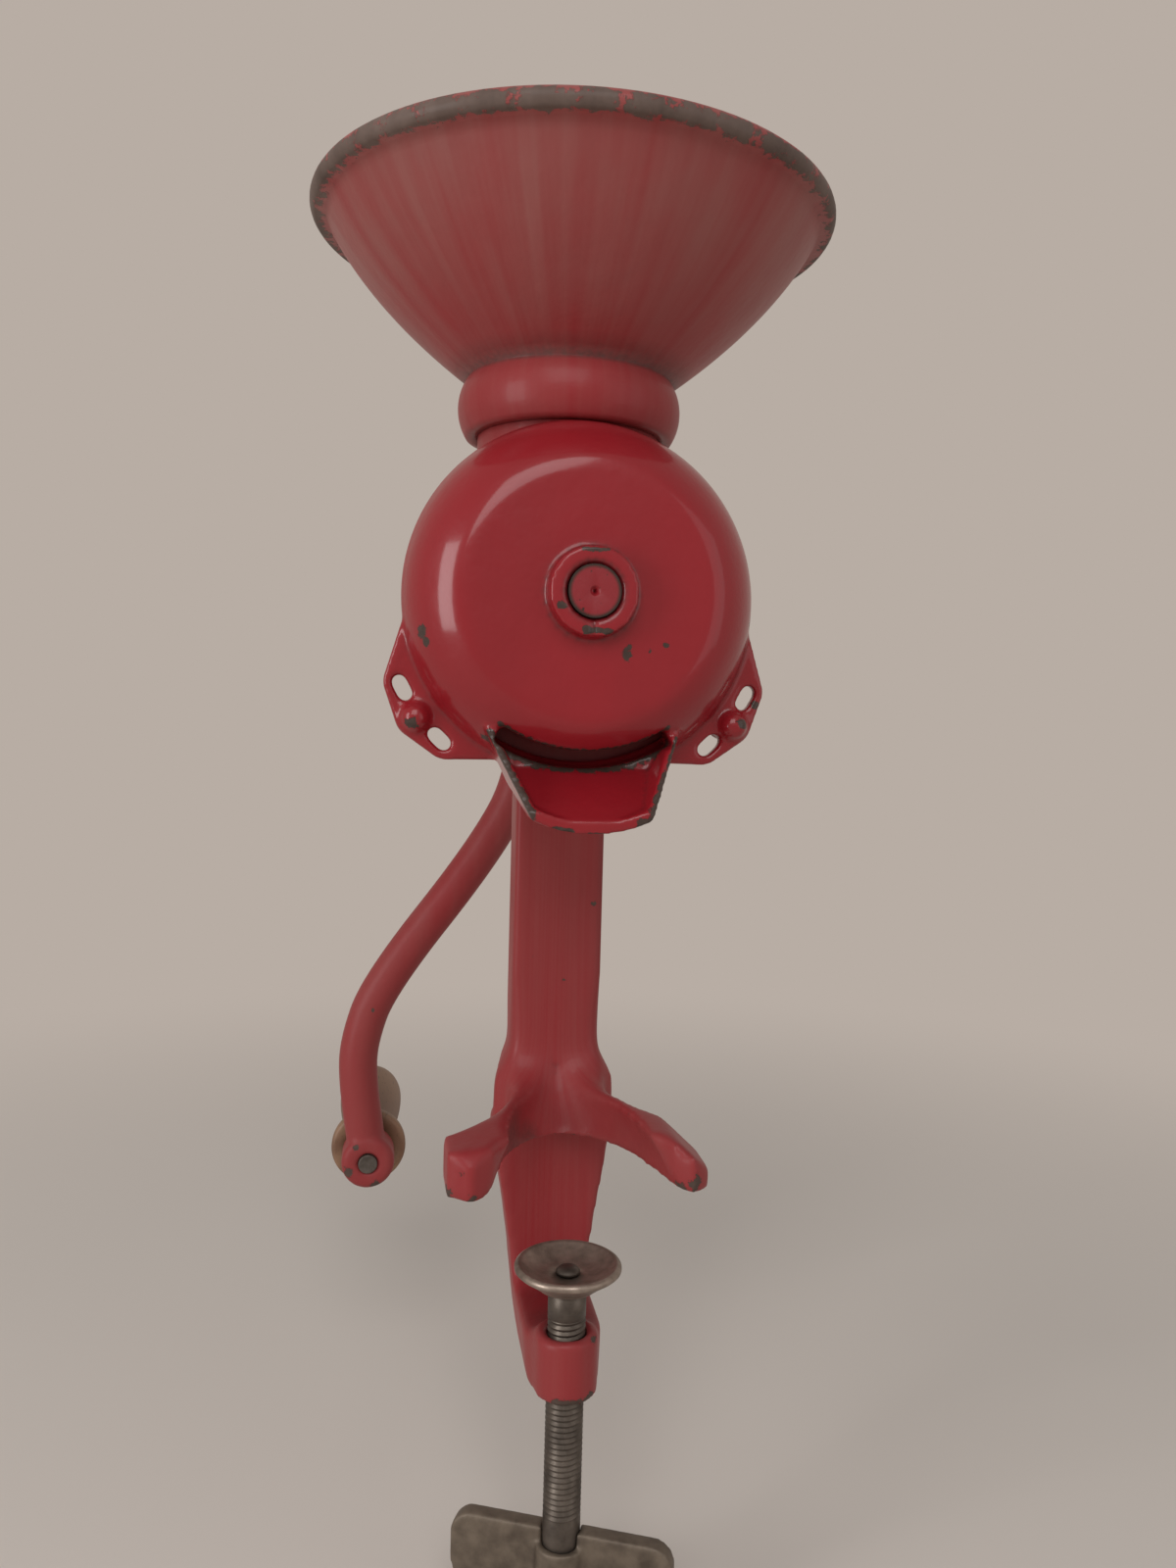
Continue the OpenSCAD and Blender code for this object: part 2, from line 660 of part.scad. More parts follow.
// Front cover: turned dome with boss, flange, ears with balls, outlet slot and spout.
module front_cover() {
    color(paint_red)
    difference() {
        union() {
            along_y(face_y) rotate_extrude() cover_outside();
            along_y(boss_y) cylinder(r = front_boss_r, h = front_boss_h + cover_wall);
            front_view(joint_y, flange_t) {
                for (side = [-1, 1]) ear(side);
                circle(r = cover_r);
            }
            for (side = [-1, 1]) translate([side * ball_x, flange_y, shaft_z - ball_drop]) sphere(r = ball_r);
            spout();
        }
        along_y(face_y) rotate_extrude() cover_hollow();
        along_y(boss_y - eps) cylinder(r = shaft_r + run_clear, h = joint_y - boss_y);
        along_y(boss_y - eps)
            cylinder(r1 = shaft_r + run_clear + boss_chamfer, r2 = shaft_r + run_clear, h = boss_chamfer);
        front_view(flange_y, flange_y - boss_y)
            intersection() {
                difference() {
                    circle(r = slot_r + slot_w);
                    circle(r = slot_r);
                }
                wedge(-90 - slot_half, -90 + slot_half, cover_r * 1.2);
            }
        translate([-oil_notch_w / 2, boss_y - eps, shaft_z - front_boss_r - eps])
            cube([oil_notch_w, oil_notch_d + eps, front_boss_r - shaft_r]);
        for (side = [-1, 1])
            translate([side * ball_x, 0, -ball_drop]) along_y(flange_y - 1) cylinder(r = screw_r, h = flange_t + 2);
    }
}

// Places three screws evenly about the shaft, starting at the joint face.
module burr_screw_spots() {
    for (a = [90, 210, 330])
        translate([burr_screw_at * cos(a), 0, burr_screw_at * sin(a)]) along_y(joint_y - eps) children();
}

// Radial furrows of one burr, from its face into its thickness.
module furrows() {
    for (i = [0 : furrow_n - 1])
        rotate([0, 0, (i + 0.5) * 360 / furrow_n]) translate([burr_r * 0.68, -furrow_w / 2, -eps])
        cube([burr_r * 0.4, furrow_w, furrow_d + eps]);
}

// Stationary burr: a furrowed ring screwed to the body's round plate.
module stationary_burr() {
    color(bare_iron)
    difference() {
        along_y(burr_face) cylinder(r = burr_r, h = burr_t);
        along_y(burr_face - eps) cylinder(r = burr_hole, h = burr_t + 2 * eps);
        along_y(burr_face) furrows();
        burr_screw_spots() translate([0, 0, -burr_t]) cylinder(r = screw_r, h = burr_t + 2 * eps);
        burr_screw_spots() translate([0, 0, -burr_t]) cylinder(r = head_r, h = head_h + eps);
    }
}

// Three screws with sunk cylinder heads holding the stationary burr.
module burr_screws() {
    color(bare_steel)
    burr_screw_spots() {
        translate([0, 0, furrow_d - burr_t + eps]) cylinder(r = head_r, h = head_h - furrow_d);
        translate([0, 0, head_h - burr_t]) cylinder(r = screw_r, h = burr_t - head_h + screw_seat);
    }
}

// Two screws from behind, through the lugs into the ball bosses.
module cover_screws() {
    color(bare_steel)
    for (side = [-1, 1])
        translate([side * ball_x, 0, -ball_drop]) {
            along_y(flange_y - 1) cylinder(r = screw_r, h = flange_t + 1 + lug_t);
            along_y(joint_y + lug_t) cylinder(d = cover_head_d, h = cover_head_h);
        }
}

// Lock nut: a hexagon against the rear boss, around the sleeve.
module lock_nut() {
    color(bare_iron)
    along_y(rear_y)
    linear_extrude(lock_t)
    difference() {
        hexagon(lock_hex);
        circle(r = sleeve_r + thread_clear);
    }
}

// Bearing sleeve: threaded bush with a hexagon head, set fore and aft to set the burrs.
module bearing_sleeve() {
    color(bare_iron)
    difference() {
        union() {
            along_y(sleeve_y) cylinder(r = sleeve_r, h = sleeve_end - sleeve_y);
            along_y(head_y) linear_extrude(sleeve_head_t) hexagon(sleeve_hex);
        }
        along_y(sleeve_y - eps) cylinder(r = shaft_r + run_clear, h = sleeve_end - sleeve_y + 2 * eps);
    }
}

// Thrust washer in front of the sleeve.
module thrust_washer() {
    color(bare_steel)
    along_y(thrust_y)
    linear_extrude(thrust_t)
    difference() {
        circle(r = sleeve_r);
        circle(r = shaft_r + run_clear);
    }
}

// Drive shaft: journal, thrust collar, square for the crank and threaded stud.
module drive_shaft() {
    color(bare_steel)
    difference() {
        union() {
            along_y(boss_y) cylinder(r = shaft_r, h = hub_front - boss_y);
            along_y(worm_back) cylinder(r = collar_shaft_r, h = thrust_y - end_play - worm_back);
            along_y(hub_front - eps) translate([-square_w / 2, -square_w / 2, 0])
                cube([square_w, square_w, hub_back - hub_front - 1]);
            along_y(hub_front) cylinder(r = stud_r, h = stud_end - hub_front);
        }
        along_y(boss_y - eps) cylinder(r1 = shaft_r * 0.2, r2 = 0, h = 1.5);
        translate([-key_w / 2, rotor_front - eps, shaft_z + shaft_r - key_w / 2])
            cube([key_w, burr_t + eps, key_w]);
    }
}

// Feed worm: a twisted blade on a core, around the shaft.
module feed_worm() {
    color(bare_iron)
    along_y(worm_front)
    difference() {
        linear_extrude(worm_len, twist = -360 * worm_turns, slices = 54, $fn = 40) {
            circle(r = worm_core_r);
            intersection() {
                circle(r = worm_r);
                translate([0, -worm_blade / 2]) square([worm_r, worm_blade]);
            }
        }
        translate([0, 0, -eps]) cylinder(r = shaft_r, h = worm_len + 2 * eps);
    }
}

// Rotating burr: a furrowed disc keyed to the shaft.
module rotating_burr() {
    color(bare_iron)
    difference() {
        along_y(rotor_front) cylinder(r = burr_r, h = burr_t);
        along_y(rotor_front - eps) cylinder(r = shaft_r, h = burr_t + 2 * eps);
        translate([0, rotor_back, shaft_z]) rotate([90, 0, 0]) furrows();
        translate([-key_w / 2, rotor_front - eps, shaft_z + shaft_r - key_w / 2])
            cube([key_w, burr_t + 2 * eps, key_w]);
    }
}

// Key between the shaft and the rotating burr.
module burr_key() {
    color(bare_steel)
    translate([-key_w / 2, rotor_front, shaft_z + shaft_r - key_w / 2]) cube([key_w, burr_t, key_w]);
}

// Crank arm: hub with a square hole, S-bent round bar and flat eye.
module crank_arm() {
    r = arm_d / 2;
    drop = arm_reach - arm_straight;
    p0 = [0, 0];
    p1 = [0, -arm_straight];
    p2 = [-arm_bow * 0.24, -arm_straight - drop * 0.2];
    p3 = [-arm_bow * 0.88, -arm_straight - drop * 0.55];
    p4 = [-arm_bow, -arm_straight - drop * 0.7];
    p5 = [-arm_bow, -arm_straight - drop * 0.8];
    p6 = [-arm_side, -arm_reach];
    color(paint_red)
    difference() {
        union() {
            along_y(hub_front) cylinder(r = hub_r, h = hub_t);
            bar(p0, p1, r);
            bar(p1, p2, r);
            bar(p2, p3, r);
            bar(p3, p4, r);
            bar(p4, p5, r);
            bar(p5, p6, r);
            translate([p6[0], 0, p6[1]]) along_y(hub_front) cylinder(r = eye_r, h = hub_t);
        }
        along_y(hub_front - eps) translate([-square_w / 2, -square_w / 2, 0])
            cube([square_w, square_w, hub_t + 2 * eps]);
        translate([p6[0], 0, p6[1]]) along_y(hub_front - eps) cylinder(r = spindle_r, h = hub_t + 2 * eps);
    }
}

// Washer under the crank's nut.
module crank_washer() {
    color(bare_steel)
    along_y(hub_back)
    linear_extrude(washer_t)
    difference() {
        circle(r = hub_r * 0.82);
        circle(r = stud_r);
    }
}

// Nut on the shaft's stud.
module crank_nut() {
    color(bare_steel)
    along_y(nut_y)
    linear_extrude(crank_nut_t)
    difference() {
        hexagon(crank_nut_hex);
        circle(r = stud_r);
    }
}

// Grip spindle: riveted in the eye, with a collar in front of the grip and a head behind it.
module grip_spindle() {
    color(bare_steel)
    translate([-arm_side, 0, -arm_reach]) {
        along_y(hub_front - 0.6) cylinder(r = spindle_r, h = grip_end + end_play + washer_t - hub_front + 0.6);
        along_y(hub_back) cylinder(r = spindle_collar_r, h = washer_t);
        along_y(grip_end + end_play + washer_t) cylinder(r1 = spindle_r + 1.2, r2 = spindle_r, h = washer_t);
    }
}

// Washer between the grip and the spindle's head.
module grip_washer() {
    color(bare_steel)
    translate([-arm_side, 0, -arm_reach]) along_y(grip_end + end_play)
    linear_extrude(washer_t)
    difference() {
        circle(r = spindle_r + 3);
        circle(r = spindle_r);
    }
}

// Wooden grip: turned with a flange, a waist and a full rounded end.
module wooden_grip() {
    steps = 16;
    flange_l = grip_len * 0.09;
    body_l = grip_len - flange_l;
    outline = [for (i = [0 : steps]) let (u = i / steps)
        [grip_waist_r + (grip_bulb_r - grip_waist_r) * (1 - cos(180 * min(1, u / 0.78))) / 2
            - (u > 0.78 ? (grip_bulb_r - grip_tip_r) * pow((u - 0.78) / 0.22, 2) : 0), flange_l + body_l * u]];
    color(turned_wood)
    translate([-arm_side, 0, -arm_reach]) along_y(grip_y)
    rotate_extrude()
    polygon(concat([[grip_bore_r, 0], [grip_flange_r - 1.5, 0], [grip_flange_r, 1.5],
        [grip_flange_r, flange_l - 2.5], [grip_flange_r - 2, flange_l - 0.5]], outline, [[grip_bore_r, grip_len]]));
}

// Pressure pad: a dished disc that does not turn with the screw.
module pressure_pad() {
    hole = neck_rad + pad_clear;
    color(bare_steel)
    rotate_extrude()
    polygon([[hole, pad_foot], [pad_r * 0.6, pad_foot], [pad_r, pad_top - pad_rim * 1.4], [pad_r, pad_top],
        [pad_r - pad_rim, pad_top], [pad_r * 0.45, pad_floor], [hole, pad_floor]]);
}

// Clamp screw: threaded bar with a neck through the pad and a rivet head in the hollow.
module clamp_screw() {
    color(bare_steel)
    difference() {
        union() {
            translate([0, 0, screw_end]) cylinder(r = clamp_r, h = clamp_len);
            translate([0, 0, screw_top]) cylinder(r = neck_rad, h = nub_z - screw_top);
            translate([0, 0, nub_z]) cylinder(r1 = neck_rad + 0.9, r2 = neck_rad, h = nub_h);
        }
        translate([0, 0, wing_top - wing_h / 2]) rotate([0, 90, wing_turn + 90])
            cylinder(d = wing_pin_d, h = 4 * wing_hub_r, center = true);
    }
}

// Wing on the lower end of the clamp screw: a plate with round corners on a hub.
module clamp_wing() {
    x = wing_w / 2;
    z = wing_h / 2;
    low_r = wing_h * 0.45;
    color(paint_red)
    difference() {
        union() {
            translate([0, 0, wing_top - z]) rotate([90, 0, wing_turn])
                translate([0, 0, -wing_t / 2]) linear_extrude(wing_t) {
                    for (side = [-1, 1]) {
                        translate([side * (x - wing_corner), z - wing_corner]) circle(r = wing_corner);
                        translate([side * (x - low_r), low_r - z]) circle(r = low_r);
                    }
                    square([2 * (x - low_r), wing_h - 2 * knuckle], center = true);
                    polygon([[x - wing_corner, z - knuckle], [x - knuckle, z - wing_corner], [x - knuckle, low_r - z],
                        [knuckle - x, low_r - z], [knuckle - x, z - wing_corner], [wing_corner - x, z - knuckle]]);
                }
            translate([0, 0, screw_end]) cylinder(r = wing_hub_r, h = wing_h - wing_hub_drop);
        }
        translate([0, 0, screw_end - eps]) cylinder(r = clamp_r, h = wing_h + 2 * eps);
        translate([0, 0, wing_top - z]) rotate([0, 90, wing_turn + 90])
            cylinder(d = wing_pin_d, h = 4 * wing_hub_r, center = true);
    }
}

// Cross pin through the wing's hub and the screw.
module wing_pin() {
    color(bare_steel)
    translate([0, 0, wing_top - wing_h / 2]) rotate([0, 90, wing_turn + 90])
        cylinder(d = wing_pin_d, h = 2 * wing_hub_r - 0.4, center = true);
}

body_casting();
hopper();
front_cover();
stationary_burr();
burr_screws();
cover_screws();
lock_nut();
bearing_sleeve();
thrust_washer();
drive_shaft();
feed_worm();
rotating_burr();
burr_key();
crank_arm();
crank_washer();
crank_nut();
grip_spindle();
grip_washer();
wooden_grip();
pressure_pad();
clamp_screw();
clamp_wing();
wing_pin();
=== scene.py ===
"""Clamp-on hand grain mill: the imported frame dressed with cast, enamelled, turned and threaded pieces."""

import math

import bmesh
import bpy
import numpy as np
from mathutils import Matrix, Vector


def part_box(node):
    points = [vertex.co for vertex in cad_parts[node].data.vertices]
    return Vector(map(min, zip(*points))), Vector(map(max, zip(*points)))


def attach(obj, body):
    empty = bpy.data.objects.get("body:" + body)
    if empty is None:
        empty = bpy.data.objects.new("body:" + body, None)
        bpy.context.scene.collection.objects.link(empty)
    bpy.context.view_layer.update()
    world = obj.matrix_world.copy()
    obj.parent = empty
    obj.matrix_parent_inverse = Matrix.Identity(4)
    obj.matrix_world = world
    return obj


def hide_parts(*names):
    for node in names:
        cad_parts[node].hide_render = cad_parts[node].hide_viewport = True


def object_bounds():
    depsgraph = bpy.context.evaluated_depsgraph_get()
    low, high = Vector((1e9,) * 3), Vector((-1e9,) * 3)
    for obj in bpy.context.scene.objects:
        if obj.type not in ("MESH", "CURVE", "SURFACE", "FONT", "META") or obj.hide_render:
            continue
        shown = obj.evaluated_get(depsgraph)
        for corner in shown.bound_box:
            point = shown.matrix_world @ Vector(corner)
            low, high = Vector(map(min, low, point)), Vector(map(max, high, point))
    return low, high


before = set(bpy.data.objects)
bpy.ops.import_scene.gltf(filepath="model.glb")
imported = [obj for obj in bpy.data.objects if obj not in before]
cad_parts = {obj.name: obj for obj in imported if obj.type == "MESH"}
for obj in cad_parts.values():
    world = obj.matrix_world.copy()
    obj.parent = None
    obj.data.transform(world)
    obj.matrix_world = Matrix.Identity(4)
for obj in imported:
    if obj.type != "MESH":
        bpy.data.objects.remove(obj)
cad_low, cad_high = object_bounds()

# Body casting: barrel, neck, column, forked jaw and clamp arm in grey iron, poured in one sand mould.
# Fettled by hand and dipped in gloss enamel, so every edge is soft and the skin is a little uneven.
BODY_SKIN_MM = 1.1
BODY_SOFTENING = 10
# Places where the paint is knocked off: (x, y, z, radius), or a rubbed line's two ends and its radius, in mm
BODY_CHIPS = (
    (20, -23, 0.5, 31, -19, 1, 1.9), (27, -25, 2, 2.2), (32, -15, 2, 1.6), (-32, -20, 1, 2.2),
    (-27, -25, 0.5, 1.8), (-21, -22, 1, 1.3), (-30, -24, 7, 0.9), (10, 32, 62, 0.9), (-7, 32, 47, 0.7),
    (2, 32, 40, 0.6), (-4, -8, -60, 6, -6, -60, 1.3), (7, -5, -45, 1.3),
)
# Places painted dark, given the same way: the left leg's shadow in the scoop and a darker place on the arm
BODY_DARKENED_SPOTS = ((-11, 8, 4, 4.5), (-8, 14, 2, 3), (0, 10, -45, 5))
# The scoop under the column, swept about an axis that falls forward from its apex: (radius, along) in mm
SCOOP = ((0, 0), (4.8, 6), (8.8, 14), (13.6, 24), (17.2, 34), (19.6, 44), (21.6, 52), (0, 52))
SCOOP_APEX = (0, 0.0333, 0.017)
SCOOP_FALL = math.radians(20)
SCOOP_TURNS = 64
# The column's foot, the crown of the arch and the legs' roots, which run into one saddle
BODY_SADDLE = ((-13, 30, 24, 13, 30, 24, 9), (0, 28, 20, 0, 6, 17, 8),
               (-16, 34, 16, -21, 32, 2, 10), (16, 34, 16, 21, 32, 2, 10),
               (-19, 36, 3, -19, 46, 0, 9), (19, 36, 3, 19, 46, 0, 9))
BODY_SADDLE_ROUNDS = 70
# The share of dust on the paint, and the hopper's axis, from which the runs of dust and painted sheen fall,
# in m
BODY_DUST = 0.25
HOPPER_Y = 0.038
# The hole for the clamp screw, drilled through the arm's eye after casting: (radius, height) in mm
BORE = ((0, -66), (5.2, -66), (5.2, -36), (0, -36))
BORE_TURNS = 64
# Edges that turn by more than this many degrees, as at the drilled hole, stay sharp
DRILLED_EDGE = 50


def linear(hex_colour):
    """The linear colour of an sRGB hex value."""
    parts = [int(hex_colour[i:i + 2], 16) / 255 for i in (1, 3, 5)]
    return [c / 12.92 if c <= 0.04045 else ((c + 0.055) / 1.055) ** 2.4 for c in parts] + [1.0]


def node(tree, kind, links, settings):
    """Adds a shader node, sets its properties and input values, and links its inputs."""
    made = tree.nodes.new(kind)
    for key, value in settings.items():
        if isinstance(key, str) and hasattr(made, key):
            setattr(made, key, value)
        else:
            made.inputs[key].default_value = value
    for key, source in links.items():
        tree.links.new(source, made.inputs[key])
    return made


def new_material(name):
    """An empty node material with its output."""
    made = bpy.data.materials.new(name)
    made.use_nodes = True
    made.node_tree.nodes.clear()
    return made, made.node_tree, made.node_tree.nodes.new("ShaderNodeOutputMaterial")


def gloss_red_enamel(name, dust):
    """Oil enamel dipped over sand-cast iron: dark red, slightly wavy, under a share of kitchen dust, which on
    the hopper also stands for a painted pale sheen. Where edges were knocked it is gone and brown iron shows,
    and shade is painted near-black into the seams and hollows."""
    made, tree, out = new_material(name)
    place = node(tree, "ShaderNodeTexCoord", {}, {}).outputs["Object"]
    # Tone of the paint in upright streaks about 25 mm wide, and specks of about 1.2 mm
    streak = node(tree, "ShaderNodeMapping", {"Vector": place}, {"Scale": (1, 1, 0.25)})
    tone = node(tree, "ShaderNodeTexNoise", {"Vector": streak.outputs[0]},
                {"Scale": 1000 / 25, "Detail": 4.0})
    specks = node(tree, "ShaderNodeTexNoise", {"Vector": place}, {"Scale": 1000 / 1.2, "Detail": 2.0})
    paint = node(tree, "ShaderNodeMixRGB", {"Fac": tone.outputs["Fac"]},
                 {"Color1": linear("#941722"), "Color2": linear("#80121B")})
    # Painted shade: creases, seams and the given dark spots are darkened towards near-black red, broken up by
    # the specks
    hollow = node(tree, "ShaderNodeAttribute", {}, {"attribute_name": "hollow"})
    patchy = node(tree, "ShaderNodeMapRange", {"Value": specks.outputs["Fac"]},
                  {"From Min": 0.3, "From Max": 0.7, "To Min": 0.6})
    painted_shade = node(tree, "ShaderNodeMath", {0: hollow.outputs["Fac"], 1: patchy.outputs[0]},
               {"operation": "MULTIPLY"})
    shaded = node(tree, "ShaderNodeMixRGB", {"Fac": painted_shade.outputs[0], "Color1": paint.outputs[0]},
                 {"Color2": linear("#241010")})
    # Ragged outline of the chips, broken at about 2.2 mm and finer
    knocked = node(tree, "ShaderNodeAttribute", {}, {"attribute_name": "knocked"})
    rough_edge = node(tree, "ShaderNodeTexNoise", {"Vector": place},
                      {"Scale": 1000 / 2.2, "Detail": 5.0, "Roughness": 0.68})
    swing = node(tree, "ShaderNodeMath", {0: rough_edge.outputs["Fac"], 2: knocked.outputs["Fac"]},
                 {"operation": "MULTIPLY_ADD", 1: 1.5})
    chip = node(tree, "ShaderNodeMapRange", {"Value": swing.outputs[0]}, {"From Min": 1.22, "From Max": 1.3})
    iron = node(tree, "ShaderNodeMixRGB", {"Fac": specks.outputs["Fac"]},
                {"Color1": linear("#271C18"), "Color2": linear("#4A3830")})
    bare = node(tree, "ShaderNodeMixRGB",
                {"Fac": chip.outputs[0], "Color1": shaded.outputs[0], "Color2": iron.outputs[0]}, {})
    # A pale film lies over all of it, thicker above the collar, in runs about 4 mm wide round the hopper's
    # axis:
    # dust, and on the hopper also a painted sheen of pale reflected light
    from_axis = node(tree, "ShaderNodeVectorMath", {0: place}, {"operation": "SUBTRACT", 1: (0, HOPPER_Y, 0)})
    level = node(tree, "ShaderNodeVectorMath", {0: from_axis.outputs[0]},
                 {"operation": "MULTIPLY", 1: (1, 1, 0)})
    round_axis = node(tree, "ShaderNodeVectorMath", {0: level.outputs[0]}, {"operation": "NORMALIZE"})
    fall = node(tree, "ShaderNodeVectorMath", {0: place}, {"operation": "MULTIPLY", 1: (0, 0, 0.06)})
    drawn_down = node(tree, "ShaderNodeVectorMath", {0: round_axis.outputs[0], 2: fall.outputs[0]},
                      {"operation": "MULTIPLY_ADD", 1: (0.05, 0.05, 0)})
    runs = node(tree, "ShaderNodeTexNoise", {"Vector": drawn_down.outputs[0]},
                {"Scale": 1000 / 4, "Detail": 3.0})
    both = node(tree, "ShaderNodeMath", {0: tone.outputs["Fac"], 1: runs.outputs["Fac"]},
                {"operation": "ADD"})
    height = node(tree, "ShaderNodeSeparateXYZ", {"Vector": place}, {})
    # Paler upward over the hopper: partly dust, partly painted sheen
    paler_upward = node(tree, "ShaderNodeMapRange", {"Value": height.outputs["Z"]},
                   {"From Min": 0.2, "From Max": 0.235, "To Min": 0.4})
    film = node(tree, "ShaderNodeMapRange", {"Value": both.outputs[0]},
                {"From Min": 0.7, "From Max": 1.3, "To Min": dust * 0.65, "To Max": dust * 1.35})
    dust_and_sheen = node(tree, "ShaderNodeMath", {0: film.outputs[0], 1: paler_upward.outputs[0]},
                 {"operation": "MULTIPLY"})
    colour = node(tree, "ShaderNodeMixRGB", {"Fac": dust_and_sheen.outputs[0], "Color1": bare.outputs[0]},
                  {"Color2": linear("#A48F85")})
    matt = node(tree, "ShaderNodeMath", {0: chip.outputs[0], 1: painted_shade.outputs[0]}, {"operation": "MAXIMUM"})
    gloss = node(tree, "ShaderNodeMapRange", {"Value": matt.outputs[0]},
                 {"To Min": 0.36 + 0.3 * dust, "To Max": 0.62})
    # Casting unevenness of about 9 mm under orange peel of about 1.6 mm, with the chips sunk in
    waves = node(tree, "ShaderNodeTexNoise", {"Vector": place}, {"Scale": 1000 / 9, "Detail": 1.0})
    peel = node(tree, "ShaderNodeTexNoise", {"Vector": place}, {"Scale": 1000 / 1.6, "Detail": 1.0})
    uneven = node(tree, "ShaderNodeBump", {"Height": waves.outputs["Fac"]},
                  {"Strength": 0.2, "Distance": 0.0012})
    peeled = node(tree, "ShaderNodeBump", {"Height": peel.outputs["Fac"], "Normal": uneven.outputs[0]},
                  {"Strength": 0.2, "Distance": 0.0003})
    sunk = node(tree, "ShaderNodeBump", {"Height": chip.outputs[0], "Normal": peeled.outputs[0]},
                {"Strength": 0.6, "Distance": 0.0003, "invert": True})
    skin = node(tree, "ShaderNodeBsdfPrincipled",
                {"Base Color": colour.outputs[0], "Roughness": gloss.outputs[0], "Normal": sunk.outputs[0]},
                {"Specular IOR Level": 0.2, "Coat Weight": max(0, 0.6 - 2.2 * dust), "Coat Roughness": 0.12})
    tree.links.new(skin.outputs[0], out.inputs["Surface"])
    return made


def nearness(place, spots):
    """How near points are to spots and lines: 1 in the middle, 0.5 at the radius, 0 at twice the radius."""
    best = np.zeros(len(place))
    for *ends, size in spots:
        first, last = np.array(ends[:3]), np.array(ends[-3:])
        line = last - first
        share = np.clip((place - first) @ line / max(line @ line, 1e-9), 0, 1)
        away = np.linalg.norm(place - first - share[:, None] * line, axis=1)
        best = np.maximum(best, np.clip(1 - away / size / 2, 0, 1))
    return best


def wear(mesh, chips, dark_spots, edge_mm, edge_share):
    """Writes two point attributes: knocked, for edges and chips, and hollow, for shade painted into concave
    corners and dark spots. An edge counts in full where it bends tighter than about edge_mm, and edge_share
    says for how much."""
    count = len(mesh.vertices)
    place = np.empty(count * 3)
    mesh.vertices.foreach_get("co", place)
    place = place.reshape(-1, 3) * 1000
    normal = np.empty(count * 3)
    mesh.vertex_normals.foreach_get("vector", normal)
    normal = normal.reshape(-1, 3)
    ends = np.empty(len(mesh.edges) * 2, dtype=np.int64)
    mesh.edges.foreach_get("vertices", ends)
    ends = ends.reshape(-1, 2)
    step = place[ends[:, 0]] - place[ends[:, 1]]
    length = np.maximum((step * step).sum(1), 1e-6)
    bend = np.zeros(count)
    share = np.zeros(count)
    for own, sign in ((ends[:, 0], 1), (ends[:, 1], -1)):
        np.add.at(bend, own, 2 * sign * (normal[own] * step).sum(1) / length)
        np.add.at(share, own, 1)
    bend = bend / np.maximum(share, 1)
    for _ in range(2):
        total = np.zeros(count)
        np.add.at(total, ends[:, 0], bend[ends[:, 1]])
        np.add.at(total, ends[:, 1], bend[ends[:, 0]])
        bend = 0.5 * bend + 0.5 * total / np.maximum(share, 1)
    knocked = np.maximum(np.clip(bend * edge_mm - 0.1, 0, 1) * edge_share, nearness(place, chips))
    # Painted shade: concave corners and creases are darkened as where shade falls, and the dark spots too
    hollow = np.maximum(np.clip(-bend * edge_mm * 1.5 - 0.2, 0, 0.85), 0.9 * nearness(place, dark_spots))
    for name, values in (("knocked", knocked), ("hollow", hollow)):
        data = mesh.attributes.new(name, "FLOAT", "POINT")
        data.data.foreach_set("value", values.astype(np.float32))


def shown(name, shape):
    """Puts a finished bmesh in the scene as an object at the origin, shaded smooth."""
    mesh = bpy.data.meshes.new(name)
    shape.to_mesh(mesh)
    shape.free()
    made = bpy.data.objects.new(name, mesh)
    bpy.context.collection.objects.link(made)
    mesh.polygons.foreach_set("use_smooth", [True] * len(mesh.polygons))
    return made


def cast_skin(made, voxel_mm, rounds):
    """Melts a piece's shells into one skin and softens its edges, as a sand mould does."""
    skin = made.modifiers.new("skin", "REMESH")
    skin.mode = "VOXEL"
    skin.voxel_size = voxel_mm / 1000
    soft = made.modifiers.new("soft edges", "SMOOTH")
    soft.factor = 0.5
    soft.iterations = rounds
    return applied(made)


def applied(made):
    """Makes what a piece's modifiers show its own mesh."""
    finished = bpy.data.meshes.new_from_object(made.evaluated_get(bpy.context.evaluated_depsgraph_get()))
    made.modifiers.clear()
    rough = made.data
    made.data = finished
    finished.name = made.name
    bpy.data.meshes.remove(rough)
    finished.polygons.foreach_set("use_smooth", [True] * len(finished.polygons))
    return made


def spin_profile(points, axis, centre, steps):
    """Turns an outline of (radius, along) points about an axis through a centre.
    An outline that starts on the axis ends on it too, and any other one is closed."""
    shape = bmesh.new()
    side = Vector((1, 0, 0))
    ring = [shape.verts.new(Vector(centre) + side * r + Vector(axis) * z) for r, z in points]
    closing = ring[:1] if points[0][0] > 0 else []
    edges = [shape.edges.new((a, b)) for a, b in zip(ring, ring[1:] + closing)]
    bmesh.ops.spin(shape, geom=ring + edges, cent=centre, axis=axis, dvec=(0, 0, 0),
                   angle=2 * math.pi, steps=steps, use_merge=True)
    bmesh.ops.remove_doubles(shape, verts=shape.verts, dist=1e-6)
    bmesh.ops.recalc_face_normals(shape, faces=shape.faces)
    return shape


def hollow_out(made, shape):
    """Takes the solid of a bmesh out of a piece."""
    tool = shown("tool", shape)
    cut = made.modifiers.new("cut", "BOOLEAN")
    cut.object = tool
    cut.operation = "DIFFERENCE"
    applied(made)
    bpy.data.meshes.remove(tool.data)
    return made


